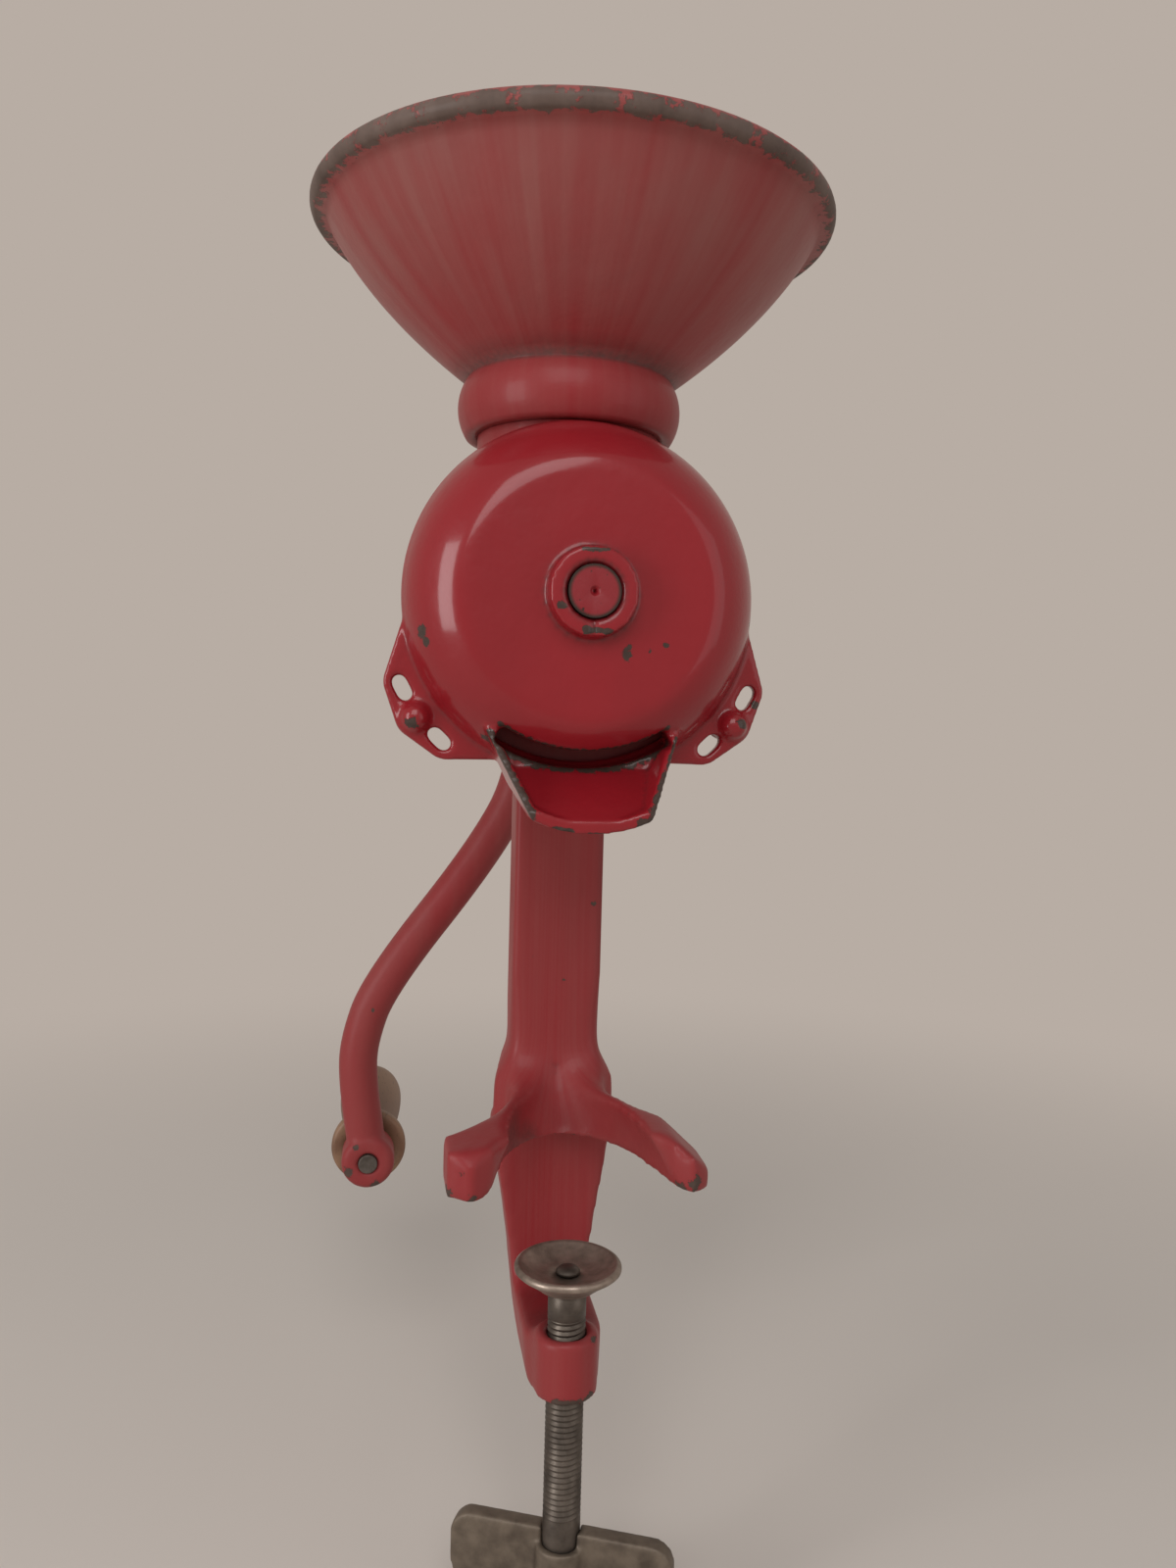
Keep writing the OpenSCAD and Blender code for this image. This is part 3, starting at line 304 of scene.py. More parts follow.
def run_together(made, spots, rounds):
    """Melts the forms of a casting into one another round some spots, given as for chips."""
    place = np.empty(len(made.data.vertices) * 3)
    made.data.vertices.foreach_get("co", place)
    near = made.vertex_groups.new(name="near")
    for index, share in enumerate(nearness(place.reshape(-1, 3) * 1000, spots)):
        if share > 0:
            near.add([index], share, "REPLACE")
    soft = made.modifiers.new("melted", "SMOOTH")
    soft.vertex_group = near.name
    soft.factor = 0.5
    soft.iterations = rounds
    applied(made)
    made.vertex_groups.clear()


def merged(cad_node, within=2e-5):
    """A bmesh copy of a CAD node's mesh, with points that lie within 0.02 mm merged."""
    shape = bmesh.new()
    shape.from_mesh(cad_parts[cad_node].data)
    bmesh.ops.remove_doubles(shape, verts=shape.verts, dist=within)
    return shape


def stands_for(made, cad_node, body, material):
    """Gives a piece its finish, its body and the CAD node that it replaces."""
    made.data.materials.clear()
    made.data.materials.append(material)
    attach(made, body)
    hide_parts(cad_node)


scoop_axis = (0, -math.cos(SCOOP_FALL), -math.sin(SCOOP_FALL))
scoop = spin_profile([(r / 1000, a / 1000) for r, a in SCOOP], scoop_axis, SCOOP_APEX, SCOOP_TURNS)
body = hollow_out(shown("body_cast", merged("body_casting")), scoop)
cast_skin(body, BODY_SKIN_MM, BODY_SOFTENING)
run_together(body, BODY_SADDLE, BODY_SADDLE_ROUNDS)
bore = spin_profile([(r / 1000, z / 1000) for r, z in BORE], (0, 0, 1), (0, 0, 0), BORE_TURNS)
hollow_out(body, bore)
body.data.set_sharp_from_angle(angle=math.radians(DRILLED_EDGE))
wear(body.data, BODY_CHIPS, BODY_DARKENED_SPOTS, edge_mm=1.6, edge_share=0.42)
body_red = gloss_red_enamel("red enamel on the body", BODY_DUST)
stands_for(body, "body_casting", "mill", body_red)

# Hopper: a bowl-sided funnel with a rolled lip, its thick collar pressed over the neck.
# Thinner iron than the body, enamelled the same red, with the paint gone along the lip.
HOPPER_TURNS = 128
# The hopper's share of pale film: dust, and also a painted pale sheen
HOPPER_DUST_AND_SHEEN = 0.24
# Heights of the collar and the cone, and of the neck's top inside the collar, in m
collar_low, collar_high = 0.1919, 0.2075
cone_low, cone_high = 0.2075, 0.2505
neck_top = 0.2055
# Radii, the cone's wall, the play round the neck and the collar's swell
neck_radius, throat_radius = 0.0255, 0.021
lip_radius = 0.0028
wall = 0.0032
play = 0.0001
collar_seam = 0.0002
swell_middle, swell_radius, swell_half = 0.0171, 0.014, 33
CONE_STEPS = 18


def arc(centre_r, centre_z, radius, start, stop, count):
    """Points on a circle of a profile, from one angle to another in degrees."""
    turns = [math.radians(start + (stop - start) * i / count) for i in range(count + 1)]
    return [(centre_r + radius * math.cos(t), centre_z + radius * math.sin(t)) for t in turns]


def cone_radius(share, bulge=0.0044, low=0.0286, high=0.069):
    """Outer radius of the bowl-sided cone at a share of its height."""
    return low + (high - low) * share + bulge * 4 * share * (1 - share)


shares = [i / CONE_STEPS for i in range(CONE_STEPS + 1)]
cone_height = cone_high - cone_low
outside = [(cone_radius(u), cone_low + cone_height * u) for u in shares]
inside = [(cone_radius(u) - wall * (1.4 - 0.4 * u), cone_low + cone_height * u) for u in reversed(shares)]
collar_mid = (collar_low + collar_high) / 2
collar_bulge = arc(swell_middle, collar_mid, swell_radius, -swell_half, swell_half, 14)
collar_foot = [(neck_radius + play, collar_low), (collar_bulge[0][0] - 0.0012, collar_low)]
lip_middle = cone_radius(1) - wall / 2 + lip_radius * 0.6
rolled_lip = arc(lip_middle, cone_high, lip_radius, -60, 215, 16)
throat = [(throat_radius, cone_low - collar_seam), (throat_radius, neck_top), (neck_radius + play, neck_top)]
hopper_outline = (
    collar_foot + collar_bulge + [(0.0287, collar_high + collar_seam)] + outside[1:-1]
    + rolled_lip + inside[1:] + throat
)
hopper = shown("hopper_funnel", spin_profile(hopper_outline, (0, 0, 1), (0, HOPPER_Y, 0), HOPPER_TURNS))
# The paint is rubbed off all along the lip, a little more at the back and the left
lip_turns = [math.radians(a) for a in range(0, 360, 4)]
lip_edge = 1000 * (lip_middle + lip_radius * 0.7)
lip_level = 1000 * (cone_high - lip_radius * 0.3)
LIP_CHIPS = [(lip_edge * math.cos(a), 1000 * HOPPER_Y + lip_edge * math.sin(a), lip_level,
              2.9 + 0.3 * math.cos(a - 2.3)) for a in lip_turns]
wear(hopper.data, LIP_CHIPS, (), edge_mm=2.4, edge_share=0.4)
hopper_red = gloss_red_enamel("red enamel on the hopper", HOPPER_DUST_AND_SHEEN)
stands_for(hopper, "hopper", "mill", hopper_red)

# Stationary burr, rotating burr and feed worm: hidden in the cover and the barrel.
# Bare cast iron with cut furrows, brown-grey and faintly mottled.


def bare_cast_iron(name):
    """Unpainted cast iron: brown-grey, faintly mottled by graphite and old rust, dull shine."""
    made, tree, out = new_material(name)
    place = node(tree, "ShaderNodeTexCoord", {}, {}).outputs["Object"]
    mottle = node(tree, "ShaderNodeTexNoise", {"Vector": place}, {"Scale": 1000 / 5, "Detail": 5.0})
    grit = node(tree, "ShaderNodeTexNoise", {"Vector": place}, {"Scale": 1000 / 0.7, "Detail": 2.0})
    spread = node(tree, "ShaderNodeMapRange", {"Value": mottle.outputs["Fac"]},
                  {"From Min": 0.3, "From Max": 0.7})
    colour = node(tree, "ShaderNodeMixRGB", {"Fac": spread.outputs[0]},
                  {"Color1": linear("#54493F"), "Color2": linear("#786B5D")})
    shine = node(tree, "ShaderNodeMapRange", {"Value": spread.outputs[0]}, {"To Min": 0.45, "To Max": 0.62})
    bump = node(tree, "ShaderNodeBump", {"Height": grit.outputs["Fac"]},
                {"Strength": 0.25, "Distance": 0.0002})
    skin = node(tree, "ShaderNodeBsdfPrincipled",
                {"Base Color": colour.outputs[0], "Roughness": shine.outputs[0], "Normal": bump.outputs[0]},
                {"Metallic": 0.45})
    tree.links.new(skin.outputs[0], out.inputs["Surface"])
    return made


def finish_node(cad_node, material):
    """Gives a CAD node that stays in view its finish."""
    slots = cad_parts[cad_node].data.materials
    slots.clear()
    slots.append(material)


burr_iron = bare_cast_iron("bare cast iron")
for hidden_iron in ("stationary_burr", "rotating_burr", "feed_worm"):
    finish_node(hidden_iron, burr_iron)

# Front cover: a domed iron lid over the burrs, with ears, ball bosses, an outlet slot and a cast spout.
# Screwed on from behind and enamelled with the body; the spout's edges and the ears are chipped.
COVER_SKIN_MM = 0.7
COVER_SOFTENING = 6
COVER_CREASE_ROUNDS = 30
COVER_DUST = 0.02
# Height of the shaft, round which the cover is turned, in mm
SHAFT_MM = 145
COVER_CHIPS = [
    (-41.5, -1, 134.5, 1.9), (-40, -1, 132, 1.2), (-36, -3, 121, 1.8), (-34, -4, 119.5, 1.1),
    (-44, 5, 128, 1.2), (42, 0, 125, 1.7), (44.5, 4, 140, 1.1), (9, -9, 130, 1.2), (9.6, -9, 132, 0.8),
    (19, -9, 133, 0.7), (15, -9, 131.5, 0.6), (-2, -14, 135.8, 4, -14, 135.2, 0.9), (-8, -14, 141, 1),
    (-3, -14, 155, 3, -14, 155, 0.6), (-43, 5, 112, 1.7), (-51, 8, 112, 1.3), (-47, 8, 105, 1.5),
    (43.5, 5, 114, 1.6), (51, 8, 114, 1.6), (48, 8, 119, 1.1), (-24, -4, 110, -15.2, -19, 91, 1.6),
    (24, -4, 110, 21, -9.5, 103, 1.0), (20, -11, 101, 15.4, -19, 91, 1.6), (12, -19, 88.5, 15, -19, 90, 1.8),
    (-9, -19, 87.5, -5, -19, 86.8, 0.9), (-1, -19, 86.5, 2, -19, 86.5, 0.7),
]


def round_shaft(radius, depth, turns, size):
    """A row of spots round the shaft's axis, at angles in degrees from straight down."""
    turns = [math.radians(a) for a in turns]
    return [(radius * math.sin(a), depth, SHAFT_MM - radius * math.cos(a), size) for a in turns]


# The outlet slot's lower edge is rubbed bare by the meal, and its ends are dark
slot_turns = range(-33, 34, 3)
COVER_CHIPS += round_shaft(43.4, 1.5, slot_turns, 1.7)
COVER_CHIPS += round_shaft(38.8, -4.2, slot_turns, 0.9)
# Painted shade in the gap round the shaft end, at the foot of its boss and down in the outlet slot
boss_turns = range(0, 360, 15)
COVER_PAINTED_SHADE = round_shaft(6.9, -13.5, boss_turns, 0.9)
COVER_PAINTED_SHADE += round_shaft(11.4, -9, boss_turns, 0.7)
COVER_PAINTED_SHADE += round_shaft(41.5, 0, slot_turns, 1.6)
cover = cast_skin(shown("cover_cast", merged("front_cover")), COVER_SKIN_MM, COVER_SOFTENING)
# The edge between the flat face and the shoulder is only just there
run_together(cover, round_shaft(32, -9, range(0, 360, 5), 3.2), COVER_CREASE_ROUNDS)
wear(cover.data, COVER_CHIPS, COVER_PAINTED_SHADE, edge_mm=1.2, edge_share=0.4)
cover_red = gloss_red_enamel("red enamel on the cover", COVER_DUST)
stands_for(cover, "front_cover", "mill", cover_red)

# Small steel pieces: screws, lock nut, adjusting sleeve, washers, nut, key, spindle and pin.
# Turned or stamped mild steel without plating, gone grey-brown with handling.
EDGE_EASE_MM = 0.35
# Angles between faces, in degrees: taken for flat, filed as an edge, and shaded as an edge afterwards
FLAT_UNDER, FILED_OVER, CRISP_OVER = 1, 35, 28


def tarnished_steel(name, hex_light, hex_dark):
    """Bare mild steel with a thin tarnish: brown-grey, satin, with handling marks of about 6 mm."""
    made, tree, out = new_material(name)
    place = node(tree, "ShaderNodeTexCoord", {}, {}).outputs["Object"]
    stain = node(tree, "ShaderNodeTexNoise", {"Vector": place},
                 {"Scale": 1000 / 6, "Detail": 5.0, "Roughness": 0.6})
    fine = node(tree, "ShaderNodeTexNoise", {"Vector": place}, {"Scale": 1000 / 0.8, "Detail": 2.0})
    spread = node(tree, "ShaderNodeMapRange", {"Value": stain.outputs["Fac"]},
                  {"From Min": 0.32, "From Max": 0.68})
    colour = node(tree, "ShaderNodeMixRGB", {"Fac": spread.outputs[0]},
                  {"Color1": linear(hex_dark), "Color2": linear(hex_light)})
    shine = node(tree, "ShaderNodeMapRange", {"Value": spread.outputs[0]}, {"To Min": 0.52, "To Max": 0.38})
    bump = node(tree, "ShaderNodeBump", {"Height": fine.outputs["Fac"]},
                {"Strength": 0.12, "Distance": 0.0002})
    skin = node(tree, "ShaderNodeBsdfPrincipled",
                {"Base Color": colour.outputs[0], "Roughness": shine.outputs[0], "Normal": bump.outputs[0]},
                {"Metallic": 0.75})
    tree.links.new(skin.outputs[0], out.inputs["Surface"])
    return made


small_steel = tarnished_steel("tarnished mild steel", "#77706A", "#4C4640")
for hidden_steel in ("burr_screws", "thrust_washer", "burr_key"):
    finish_node(hidden_steel, small_steel)


def eased_copy(name, cad_node, ease_mm):
    """A copy of a CAD node with its sharp edges broken, as by a file or by tumbling."""
    shape = merged(cad_node)
    bmesh.ops.dissolve_limit(shape, angle_limit=math.radians(FLAT_UNDER), verts=shape.verts,
                             edges=shape.edges)
    inner_edges = [e for e in shape.edges if len(e.link_faces) == 2]
    sharp = [e for e in inner_edges if e.calc_face_angle() > math.radians(FILED_OVER)]
    bmesh.ops.bevel(shape, geom=sharp, offset=ease_mm / 1000, offset_type="OFFSET", segments=2, profile=0.5,
                    affect="EDGES", clamp_overlap=True, material=-1)
    bmesh.ops.recalc_face_normals(shape, faces=shape.faces)
    made = shown(name, shape)
    made.data.set_sharp_from_angle(angle=math.radians(CRISP_OVER))
    return made


for small_piece, rides_on in (("cover_screws", "mill"), ("lock_nut", "mill"), ("bearing_sleeve", "adjuster"),
                              ("crank_washer", "crank"), ("crank_nut", "crank"), ("grip_spindle", "crank"),
                              ("grip_washer", "crank"), ("wing_pin", "clamp_screw")):
    eased = eased_copy(small_piece + "_eased", small_piece, EDGE_EASE_MM)
    stands_for(eased, small_piece, rides_on, small_steel)

# Drive shaft: turned steel bar through both bearings, squared for the crank at its back end.
# The front end was painted with the cover, so red shows inside the boss and bare steel elsewhere.
SHAFT_FRONT = -0.014
PAINTED_BACK_TO = -0.0125
shaft_paint, tree, out = new_material("shaft end painted over")
place = node(tree, "ShaderNodeTexCoord", {}, {}).outputs["Object"]
along = node(tree, "ShaderNodeSeparateXYZ", {"Vector": place}, {})
# Paint on the front end, lost in flecks of about 1.8 mm
fleck = node(tree, "ShaderNodeTexNoise", {"Vector": place},
             {"Scale": 1000 / 1.8, "Detail": 4.0, "Roughness": 0.65})
front_end = node(tree, "ShaderNodeMath", {0: along.outputs["Y"]},
                 {"operation": "LESS_THAN", 1: PAINTED_BACK_TO})
flecked = node(tree, "ShaderNodeMapRange", {"Value": fleck.outputs["Fac"]},
               {"From Min": 0.33, "From Max": 0.38})
# A dark ring of oil at the shaft's rim, from 5.4 to 6.2 mm off its axis
from_axis = node(tree, "ShaderNodeVectorMath", {0: place},
                 {"operation": "SUBTRACT", 1: (0, SHAFT_FRONT, SHAFT_MM / 1000)})
off_axis = node(tree, "ShaderNodeVectorMath", {0: from_axis.outputs[0]}, {"operation": "LENGTH"})
inner = node(tree, "ShaderNodeMapRange", {"Value": off_axis.outputs["Value"]},
             {"From Min": 0.0054, "From Max": 0.0062, "To Min": 1.0, "To Max": 0.0})
whole = node(tree, "ShaderNodeMath", {0: front_end.outputs[0], 1: flecked.outputs[0]},
             {"operation": "MULTIPLY"})
kept_paint = node(tree, "ShaderNodeMath", {0: whole.outputs[0], 1: inner.outputs[0]},
                  {"operation": "MULTIPLY"})
shaft_colour = node(tree, "ShaderNodeMixRGB", {"Fac": kept_paint.outputs[0]},
                    {"Color1": linear("#3A302B"), "Color2": linear("#84161F")})
shaft_metal = node(tree, "ShaderNodeMapRange", {"Value": kept_paint.outputs[0]},
                   {"To Min": 0.6, "To Max": 0.0})
shaft_bump = node(tree, "ShaderNodeBump", {"Height": fleck.outputs["Fac"]},
                  {"Strength": 0.25, "Distance": 0.0004})
shaft_skin = node(tree, "ShaderNodeBsdfPrincipled",
                  {"Base Color": shaft_colour.outputs[0], "Metallic": shaft_metal.outputs[0],
                   "Normal": shaft_bump.outputs[0]}, {"Roughness": 0.42})
tree.links.new(shaft_skin.outputs[0], out.inputs["Surface"])
shaft = eased_copy("shaft_turned", "drive_shaft", EDGE_EASE_MM)
stands_for(shaft, "drive_shaft", "crank", shaft_paint)

# Crank arm: round bar forged to an S, with a hub on the shaft's square and an eye for the grip.
# Enamelled red; the paint is worn where the hand and the table touch it.
CRANK_SKIN_MM = 0.75
CRANK_SOFTENING = 8
CRANK_DUST = 0.32
crank_low, crank_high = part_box("crank_arm")
crank_y = (crank_low[1] + crank_high[1]) / 2
shaft_height = SHAFT_MM / 1000
bar_radius = 0.0067
eye = Vector((-0.053, crank_y, shaft_height - 0.187))
# The bar's middle line from the hub to the eye: corners off the shaft, then cut round four times
crank_route = [(0, -0.008), (0, -0.05), (-0.0137, -0.0774), (-0.0502, -0.1254),
               (-0.057, -0.1459), (-0.057, -0.1596), (-0.0538, -0.1815)]
for _ in range(4):
    cut = [crank_route[0]]
    for (ax, az), (bx, bz) in zip(crank_route, crank_route[1:]):
        cut += [(ax * (1 - u) + bx * u, az * (1 - u) + bz * u) for u in (0.25, 0.75)]
    crank_route = cut + [crank_route[-1]]
crank_route = [Vector((x, crank_y, shaft_height + z)) for x, z in crank_route]
crank_shape = bmesh.new()
heading = (crank_route[1] - crank_route[0]).normalized()
start = Matrix.Translation(crank_route[0]) @ heading.to_track_quat("Z", "Y").to_matrix().to_4x4()
bmesh.ops.create_circle(crank_shape, cap_ends=True, segments=28, radius=bar_radius, matrix=start)
rim = list(crank_shape.edges)
for i in range(1, len(crank_route)):
    ahead = crank_route[min(i + 1, len(crank_route) - 1)] - crank_route[i - 1]
    ahead.normalize()
    turn = heading.rotation_difference(ahead).to_matrix().to_4x4()
    drawn = bmesh.ops.extrude_edge_only(crank_shape, edges=rim)["geom"]
    move = Matrix.Translation(crank_route[i]) @ turn @ Matrix.Translation(-crank_route[i - 1])
    ends = [v for v in drawn if isinstance(v, bmesh.types.BMVert)]
    bmesh.ops.transform(crank_shape, matrix=move, verts=ends)
    rim = [e for e in drawn if isinstance(e, bmesh.types.BMEdge)]
    heading = ahead
bmesh.ops.edgeloop_fill(crank_shape, edges=rim)


def add_ring(shape, centre, inner, outer, thick, crown):
    """Adds a turned ring with crowned faces, its axis along Y, to a bmesh."""
    half = thick / 2
    outline = [(inner, -half), (outer - crown, -half), (outer, crown - half), (outer, half - crown),
               (outer - crown, half), (inner, half)]
    ring = [shape.verts.new(centre + Vector((r, a, 0))) for r, a in outline]
    edges = [shape.edges.new((a, b)) for a, b in zip(ring, ring[1:] + ring[:1])]
    bmesh.ops.spin(shape, geom=ring + edges, cent=centre, axis=(0, 1, 0), dvec=(0, 0, 0),
                   angle=2 * math.pi, steps=56, use_merge=True)


hub = Vector((0, crank_y, shaft_height))
add_ring(crank_shape, hub, inner=0.0043, outer=0.0125, thick=0.0146, crown=0.0012)
add_ring(crank_shape, eye, inner=0.0033, outer=0.0092, thick=0.0146, crown=0.0016)
bmesh.ops.remove_doubles(crank_shape, verts=crank_shape.verts, dist=1e-6)
bmesh.ops.recalc_face_normals(crank_shape, faces=crank_shape.faces)
crank = cast_skin(shown("crank_forged", crank_shape), CRANK_SKIN_MM, CRANK_SOFTENING)
arm_front = 1000 * crank_y - 7
CRANK_CHIPS = [(x, arm_front, z, size) for x, z, size in
               ((-60, -45, 1.6), (-50, -50, 1.8), (-57, -36, 1), (-52, 12, 0.7))]
wear(crank.data, CRANK_CHIPS, (), edge_mm=1.6, edge_share=0.38)
crank_red = gloss_red_enamel("red enamel on the crank", CRANK_DUST)
stands_for(crank, "crank_arm", "crank", crank_red)

# Wooden grip: turned from brown hardwood, with a flange next to the arm and a full rounded end.
# It runs loose on the spindle; the old varnish is worn matt and dark in the pores.
grip_low, grip_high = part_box("wooden_grip")
grip_front, grip_back = grip_low[1], grip_high[1]
grip_length = grip_back - grip_front
grip_bore = 0.0034
flange_end = 0.0063
# Radii behind the flange, at the fullest place and at the end, and where the fullest place lies
waist, belly, end = 0.0086, 0.012, 0.0068
fullest = 0.78
GRIP_STEPS = 32
sides = []
for i in range(GRIP_STEPS + 1):
    u = i / GRIP_STEPS
    swell = waist + (belly - waist) * (1 - math.cos(math.pi * min(1, u / fullest))) / 2
    if u > fullest:
        swell = end + (swell - end) * math.sqrt(max(0.0, 1 - ((u - fullest) / (1 - fullest)) ** 2))
    sides.append((swell, flange_end + (grip_length - flange_end) * u))
flange = (
    [(grip_bore, 0), (0.0117, 0)] + arc(0.0117, 0.0015, 0.0015, -90, 0, 4)[1:]
    + arc(0.0107, 0.0036, 0.0025, 0, 90, 6) + [(0.0092, flange_end - 0.0003)]
)
grip_outline = flange + sides + [(grip_bore, grip_length)]
grip = shown("grip_turned", spin_profile(grip_outline, (0, 1, 0), (eye.x, grip_front, eye.z), steps=72))


def turned_hardwood(name):
    """Brown hardwood with worn varnish: growth rings cut along the axis, fine pores, satin."""
    made, tree, out = new_material(name)
    place = node(tree, "ShaderNodeTexCoord", {}, {}).outputs["Object"]
    turned = node(tree, "ShaderNodeMapping", {"Vector": place},
                  {"Location": (0.06, 0, 0.05), "Scale": (1, 0.12, 1)})
    warp = node(tree, "ShaderNodeTexNoise", {"Vector": turned.outputs[0]},
                {"Scale": 1000 / 14, "Detail": 3.0})
    # Growth rings of about 10 mm; at a scale of 1 this texture's rings lie tau / 20 apart
    rings = node(tree, "ShaderNodeTexWave", {"Vector": turned.outputs[0]},
                 {"wave_type": "RINGS", "rings_direction": "Y", "Scale": 1000 / 10.21 * math.tau / 20,
                  "Distortion": 3.5, "Detail": 2.0})
    pores = node(tree, "ShaderNodeTexNoise", {"Vector": turned.outputs[0]},
                 {"Scale": 1000 / 0.7, "Detail": 2.0})
    grain = node(tree, "ShaderNodeMixRGB", {"Fac": rings.outputs["Fac"]},
                 {"Color1": linear("#77553F"), "Color2": linear("#967459")})
    age = node(tree, "ShaderNodeMapRange", {"Value": warp.outputs["Fac"]},
               {"From Min": 0.35, "From Max": 0.75, "To Max": 0.6})
    aged = node(tree, "ShaderNodeMixRGB", {"Fac": age.outputs[0], "Color1": grain.outputs[0]},
                {"Color2": linear("#604432")})
    pitted = node(tree, "ShaderNodeMapRange", {"Value": pores.outputs["Fac"]},
                  {"From Min": 0.62, "From Max": 0.75, "To Max": 0.7})
    dark = node(tree, "ShaderNodeMixRGB", {"Fac": pitted.outputs[0], "Color1": aged.outputs[0]},
                {"Color2": linear("#3E2A1E")})
    bump = node(tree, "ShaderNodeBump", {"Height": pores.outputs["Fac"]},
                {"Strength": 0.2, "Distance": 0.0003})
    skin = node(tree, "ShaderNodeBsdfPrincipled", {"Base Color": dark.outputs[0], "Normal": bump.outputs[0]},
                {"Roughness": 0.5, "IOR": 1.5})
    tree.links.new(skin.outputs[0], out.inputs["Surface"])
    return made


stands_for(grip, "wooden_grip", "grip", turned_hardwood("turned hardwood"))

# Pressure pad: a forged steel saucer, loose on the screw's neck so that it does not turn on the wood.
# Bare steel with a mottled tarnish, the same over its rim and its hollow.
pad_low, pad_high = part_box("pressure_pad")
pad_top, pad_foot = pad_high[2], pad_low[2]
pad_bore, pad_floor = 0.00245, pad_top - 0.0032
pad_outline = (
    [(pad_bore, pad_foot), (0.0072, pad_foot)] + arc(0.0072, pad_foot + 0.0012, 0.0012, -90, -35, 4)[1:]
    + [(0.0105, pad_foot + 0.0023), (0.0134, pad_foot + 0.0043)]
    + arc(0.0128, pad_top - 0.0012, 0.0012, -20, 90, 7)
    + [(0.0121, pad_top - 0.0004), (0.0095, pad_top - 0.0022), (0.0064, pad_floor), (pad_bore, pad_floor)]
)
pad = shown("pad_saucer", spin_profile(pad_outline, (0, 0, 1), (0, 0, 0), steps=64))
pad_steel = tarnished_steel("greasy dark steel", "#A39488", "#6E6157")
stands_for(pad, "pressure_pad", "clamp_pad", pad_steel)

# Clamp screw: steel bar with a rolled coarse thread, a turned neck and a rivet head in the pad's hollow.
# Bare and grey with handling; the thread and the plain bar under it are two pieces of one body.
THREAD_LEAD = 0.0015
STEPS_A_TURN = 28
screw_low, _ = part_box("clamp_screw")
screw_radius, root_radius = 0.005, 0.00435
neck_under, thread_low = -0.0331, screw_low[2] + 0.024
thread_top = -0.0405
turns = round((thread_top - thread_low) / THREAD_LEAD)
screw_shape = bmesh.new()
# One tooth of the thread: its radius at shares of the lead
TOOTH = ((root_radius, 0), (root_radius, 0.14), (screw_radius, 0.48), (screw_radius, 0.64), (root_radius, 1))
tooth = [screw_shape.verts.new((r, 0, thread_low + share * THREAD_LEAD)) for r, share in TOOTH]
flanks = [screw_shape.edges.new((a, b)) for a, b in zip(tooth, tooth[1:])]
bmesh.ops.spin(screw_shape, geom=tooth + flanks, cent=(0, 0, 0), axis=(0, 0, 1),
               dvec=(0, 0, THREAD_LEAD / STEPS_A_TURN), angle=2 * math.pi * turns, steps=STEPS_A_TURN * turns)
bmesh.ops.remove_doubles(screw_shape, verts=screw_shape.verts, dist=1e-6)
bmesh.ops.holes_fill(screw_shape, edges=[e for e in screw_shape.edges if e.is_boundary], sides=0)
bmesh.ops.recalc_face_normals(screw_shape, faces=screw_shape.faces)
thread = shown("screw_thread", screw_shape)
nub_low = pad_top - 0.0029
shank_outline = [
    (0, screw_low[2]), (0.0046, screw_low[2]), (screw_radius, screw_low[2] + 0.0005),
    (screw_radius, thread_low + 0.001), (root_radius, thread_low + 0.0024),
    (root_radius, thread_top - 0.0012), (screw_radius, thread_top),
    (screw_radius, neck_under - 0.0006), (0.0044, neck_under - 0.00025),
    (0.0023, neck_under - 0.00025), (0.0023, nub_low), (0.0032, nub_low), (0.0031, nub_low + 0.0007),
    (0.0024, nub_low + 0.0014), (0.0012, nub_low + 0.0017), (0, nub_low + 0.00175),
]
shank = shown("screw_shank", spin_profile(shank_outline, (0, 0, 1), (0, 0, 0), steps=48))
screw_steel = tarnished_steel("grey thread steel", "#675E56", "#443D37")
stands_for(shank, "clamp_screw", "clamp_screw", screw_steel)
thread.data.materials.append(screw_steel)
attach(thread, "clamp_screw")

# Wing: a thumb piece of bare grey iron, pinned across the screw's lower end.
# Cast in one with its hub, so its lobes are rounded by the mould.
WING_SKIN_MM = 0.6
WING_SOFTENING = 10
wing = cast_skin(shown("wing_cast", merged("clamp_wing")), WING_SKIN_MM, WING_SOFTENING)
stands_for(wing, "clamp_wing", "clamp_screw", bare_cast_iron("bare cast iron of the wing"))

# Stage: a pale floor just under the wing, soft lamps, and a camera where the photograph was taken.
# The floor is laid half a millimetre below the lowest place that the clamp screw can be let down to.
CLAMP_DROP = 0.01
FLOOR_PLAY = 0.0005
floor_shape = bmesh.new()
bmesh.ops.create_circle(floor_shape, cap_ends=True, segments=96, radius=6.0,
                        matrix=Matrix.Translation((0, 0, cad_low[2] - CLAMP_DROP - FLOOR_PLAY)))
floor = shown("floor", floor_shape)


def in_view(tree):
    """A socket that is 1 for what the camera sees straight, mirrored or through a clear thing."""
    path = node(tree, "ShaderNodeLightPath", {}, {})
    mirrored = node(tree, "ShaderNodeMath",
                    {0: path.outputs["Is Camera Ray"], 1: path.outputs["Is Glossy Ray"]},
                    {"operation": "MAXIMUM"})
    through = node(tree, "ShaderNodeMath", {0: mirrored.outputs[0], 1: path.outputs["Is Transmission Ray"]},
                   {"operation": "MAXIMUM"})
    return through.outputs[0]


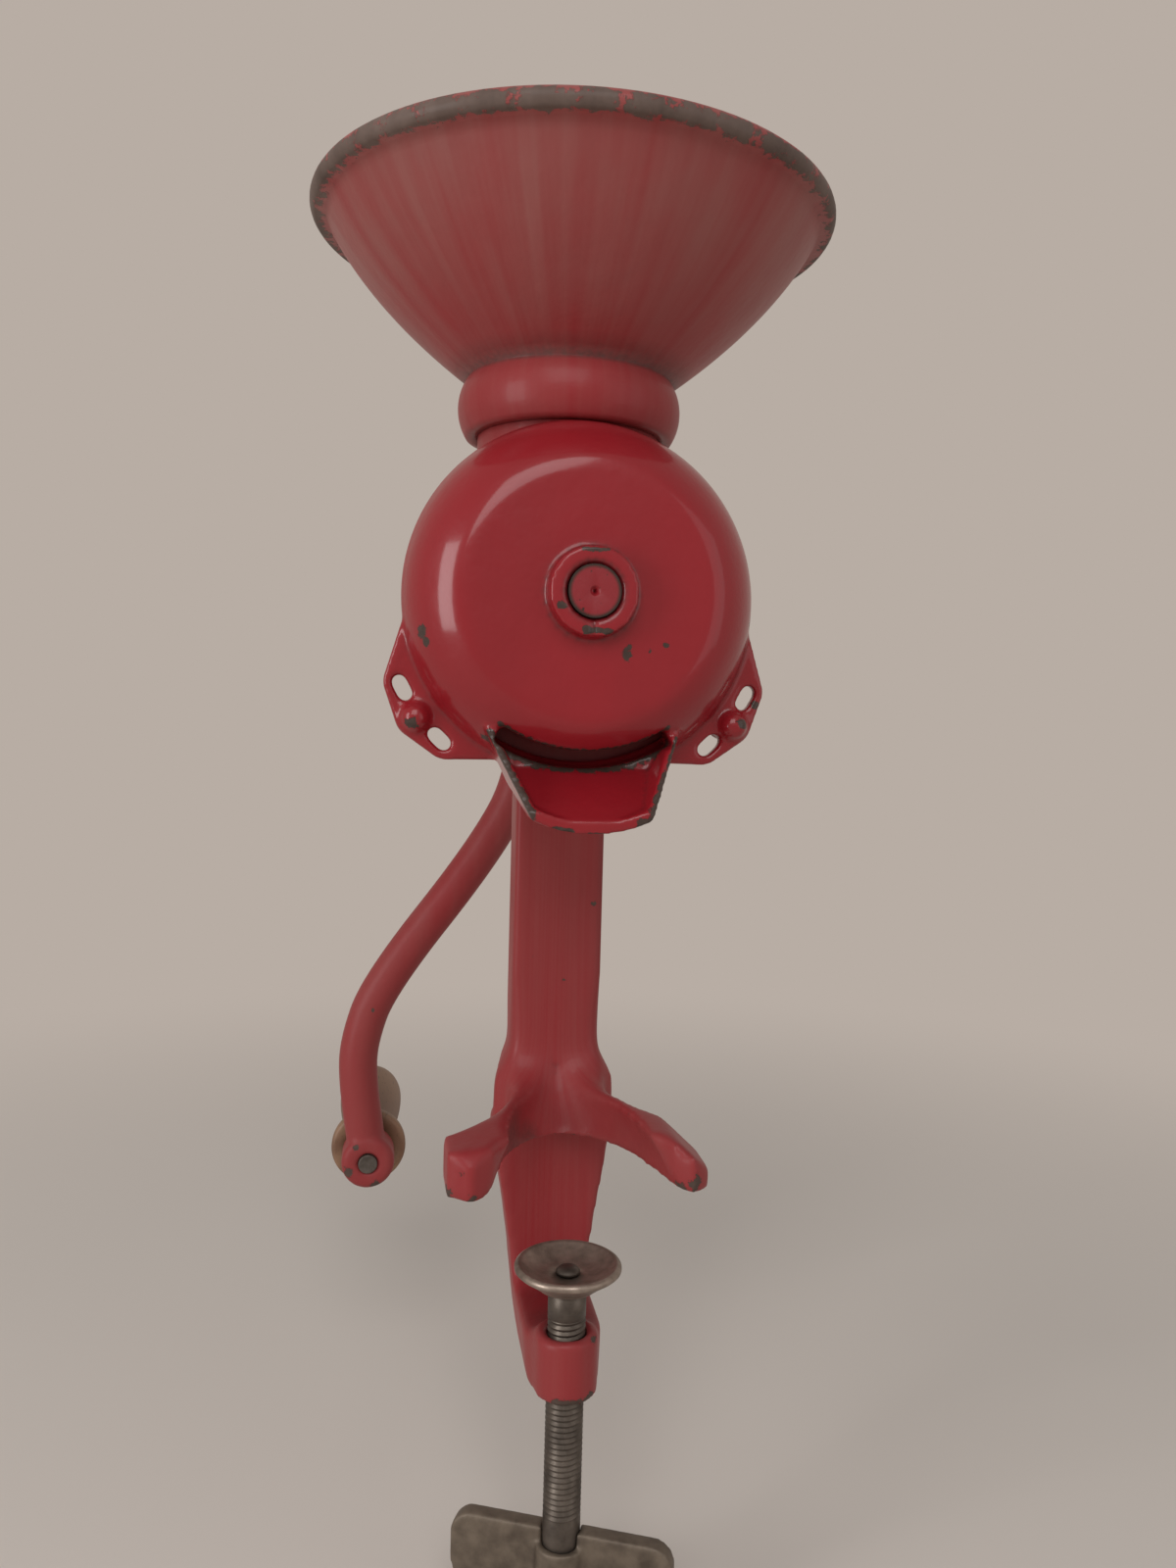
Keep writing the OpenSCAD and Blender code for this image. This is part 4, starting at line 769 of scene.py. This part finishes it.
# The floor takes shadows near the object and passes into the backdrop's colour 0.25 to 0.8 m away
BACKDROP = linear("#B8ADA4")
floor_pale, tree, out = new_material("pale matt floor")
near_floor = node(tree, "ShaderNodeBsdfPrincipled", {}, {"Base Color": linear("#E2D7CD"), "Roughness": 0.85})
far_floor = node(tree, "ShaderNodeEmission", {}, {"Color": BACKDROP})
place = node(tree, "ShaderNodeTexCoord", {}, {}).outputs["Object"]
reach = node(tree, "ShaderNodeVectorMath", {0: place}, {"operation": "LENGTH"})
blend = node(tree, "ShaderNodeMapRange", {"Value": reach.outputs["Value"]},
             {"interpolation_type": "SMOOTHSTEP", "From Min": 0.25, "From Max": 0.8})
passing = node(tree, "ShaderNodeMath", {0: blend.outputs[0], 1: in_view(tree)}, {"operation": "MULTIPLY"})
both = node(tree, "ShaderNodeMixShader",
            {0: passing.outputs[0], 1: near_floor.outputs[0], 2: far_floor.outputs[0]}, {})
tree.links.new(both.outputs[0], out.inputs["Surface"])
floor.data.materials.append(floor_pale)

world = bpy.data.worlds.new("studio")
bpy.context.scene.world = world
world.use_nodes = True
tree = world.node_tree
tree.nodes.clear()
out = tree.nodes.new("ShaderNodeOutputWorld")
lit = node(tree, "ShaderNodeBackground", {}, {"Color": linear("#FFFFFF"), "Strength": 0.27})
backdrop = node(tree, "ShaderNodeBackground", {}, {"Color": BACKDROP})
both = node(tree, "ShaderNodeMixShader", {0: in_view(tree), 1: lit.outputs[0], 2: backdrop.outputs[0]}, {})
tree.links.new(both.outputs[0], out.inputs["Surface"])


MILL_MIDDLE = Vector((0, 0.03, 0.1))


def soft_lamp(name, place, width, height, power):
    """An upright area lamp at a place, turned to the middle of the mill."""
    data = bpy.data.lights.new(name, "AREA")
    data.shape = "RECTANGLE"
    data.size = width
    data.size_y = height
    data.energy = power
    made = bpy.data.objects.new(name, data)
    made.location = place
    made.rotation_mode = "QUATERNION"
    made.rotation_quaternion = (MILL_MIDDLE - Vector(place)).to_track_quat("-Z", "Y")
    bpy.context.collection.objects.link(made)


soft_lamp("window at the left", (-1.15, -0.55, 0.22), width=0.45, height=1.0, power=8)
soft_lamp("lamp above the front", (-0.2, -0.95, 0.9), width=0.8, height=0.8, power=6.5)
soft_lamp("fill from the right", (1.1, -0.9, 0.35), width=1.1, height=1.1, power=2.5)

camera_data = bpy.data.cameras.new("photo camera")
camera_data.sensor_width = 36
camera_data.lens = 27
camera_data.clip_start = 0.01
camera = bpy.data.objects.new("photo camera", camera_data)
bpy.context.collection.objects.link(camera)
CAMERA_AT = Vector((-0.04823, -0.29476, 0.11316))
yaw, pitch, roll = (math.radians(a) for a in (9.64, 2.96, 1.54))
look = Vector((math.sin(yaw) * math.cos(pitch), math.cos(yaw) * math.cos(pitch), -math.sin(pitch)))
level = Vector((math.cos(yaw), -math.sin(yaw), 0))
upright = level.cross(look)
right = math.cos(roll) * level + math.sin(roll) * upright
up = -math.sin(roll) * level + math.cos(roll) * upright
camera.matrix_world = Matrix((
    (right.x, up.x, -look.x, CAMERA_AT.x), (right.y, up.y, -look.y, CAMERA_AT.y),
    (right.z, up.z, -look.z, CAMERA_AT.z), (0, 0, 0, 1)))
bpy.context.scene.camera = camera
bpy.context.scene.view_settings.view_transform = "Standard"
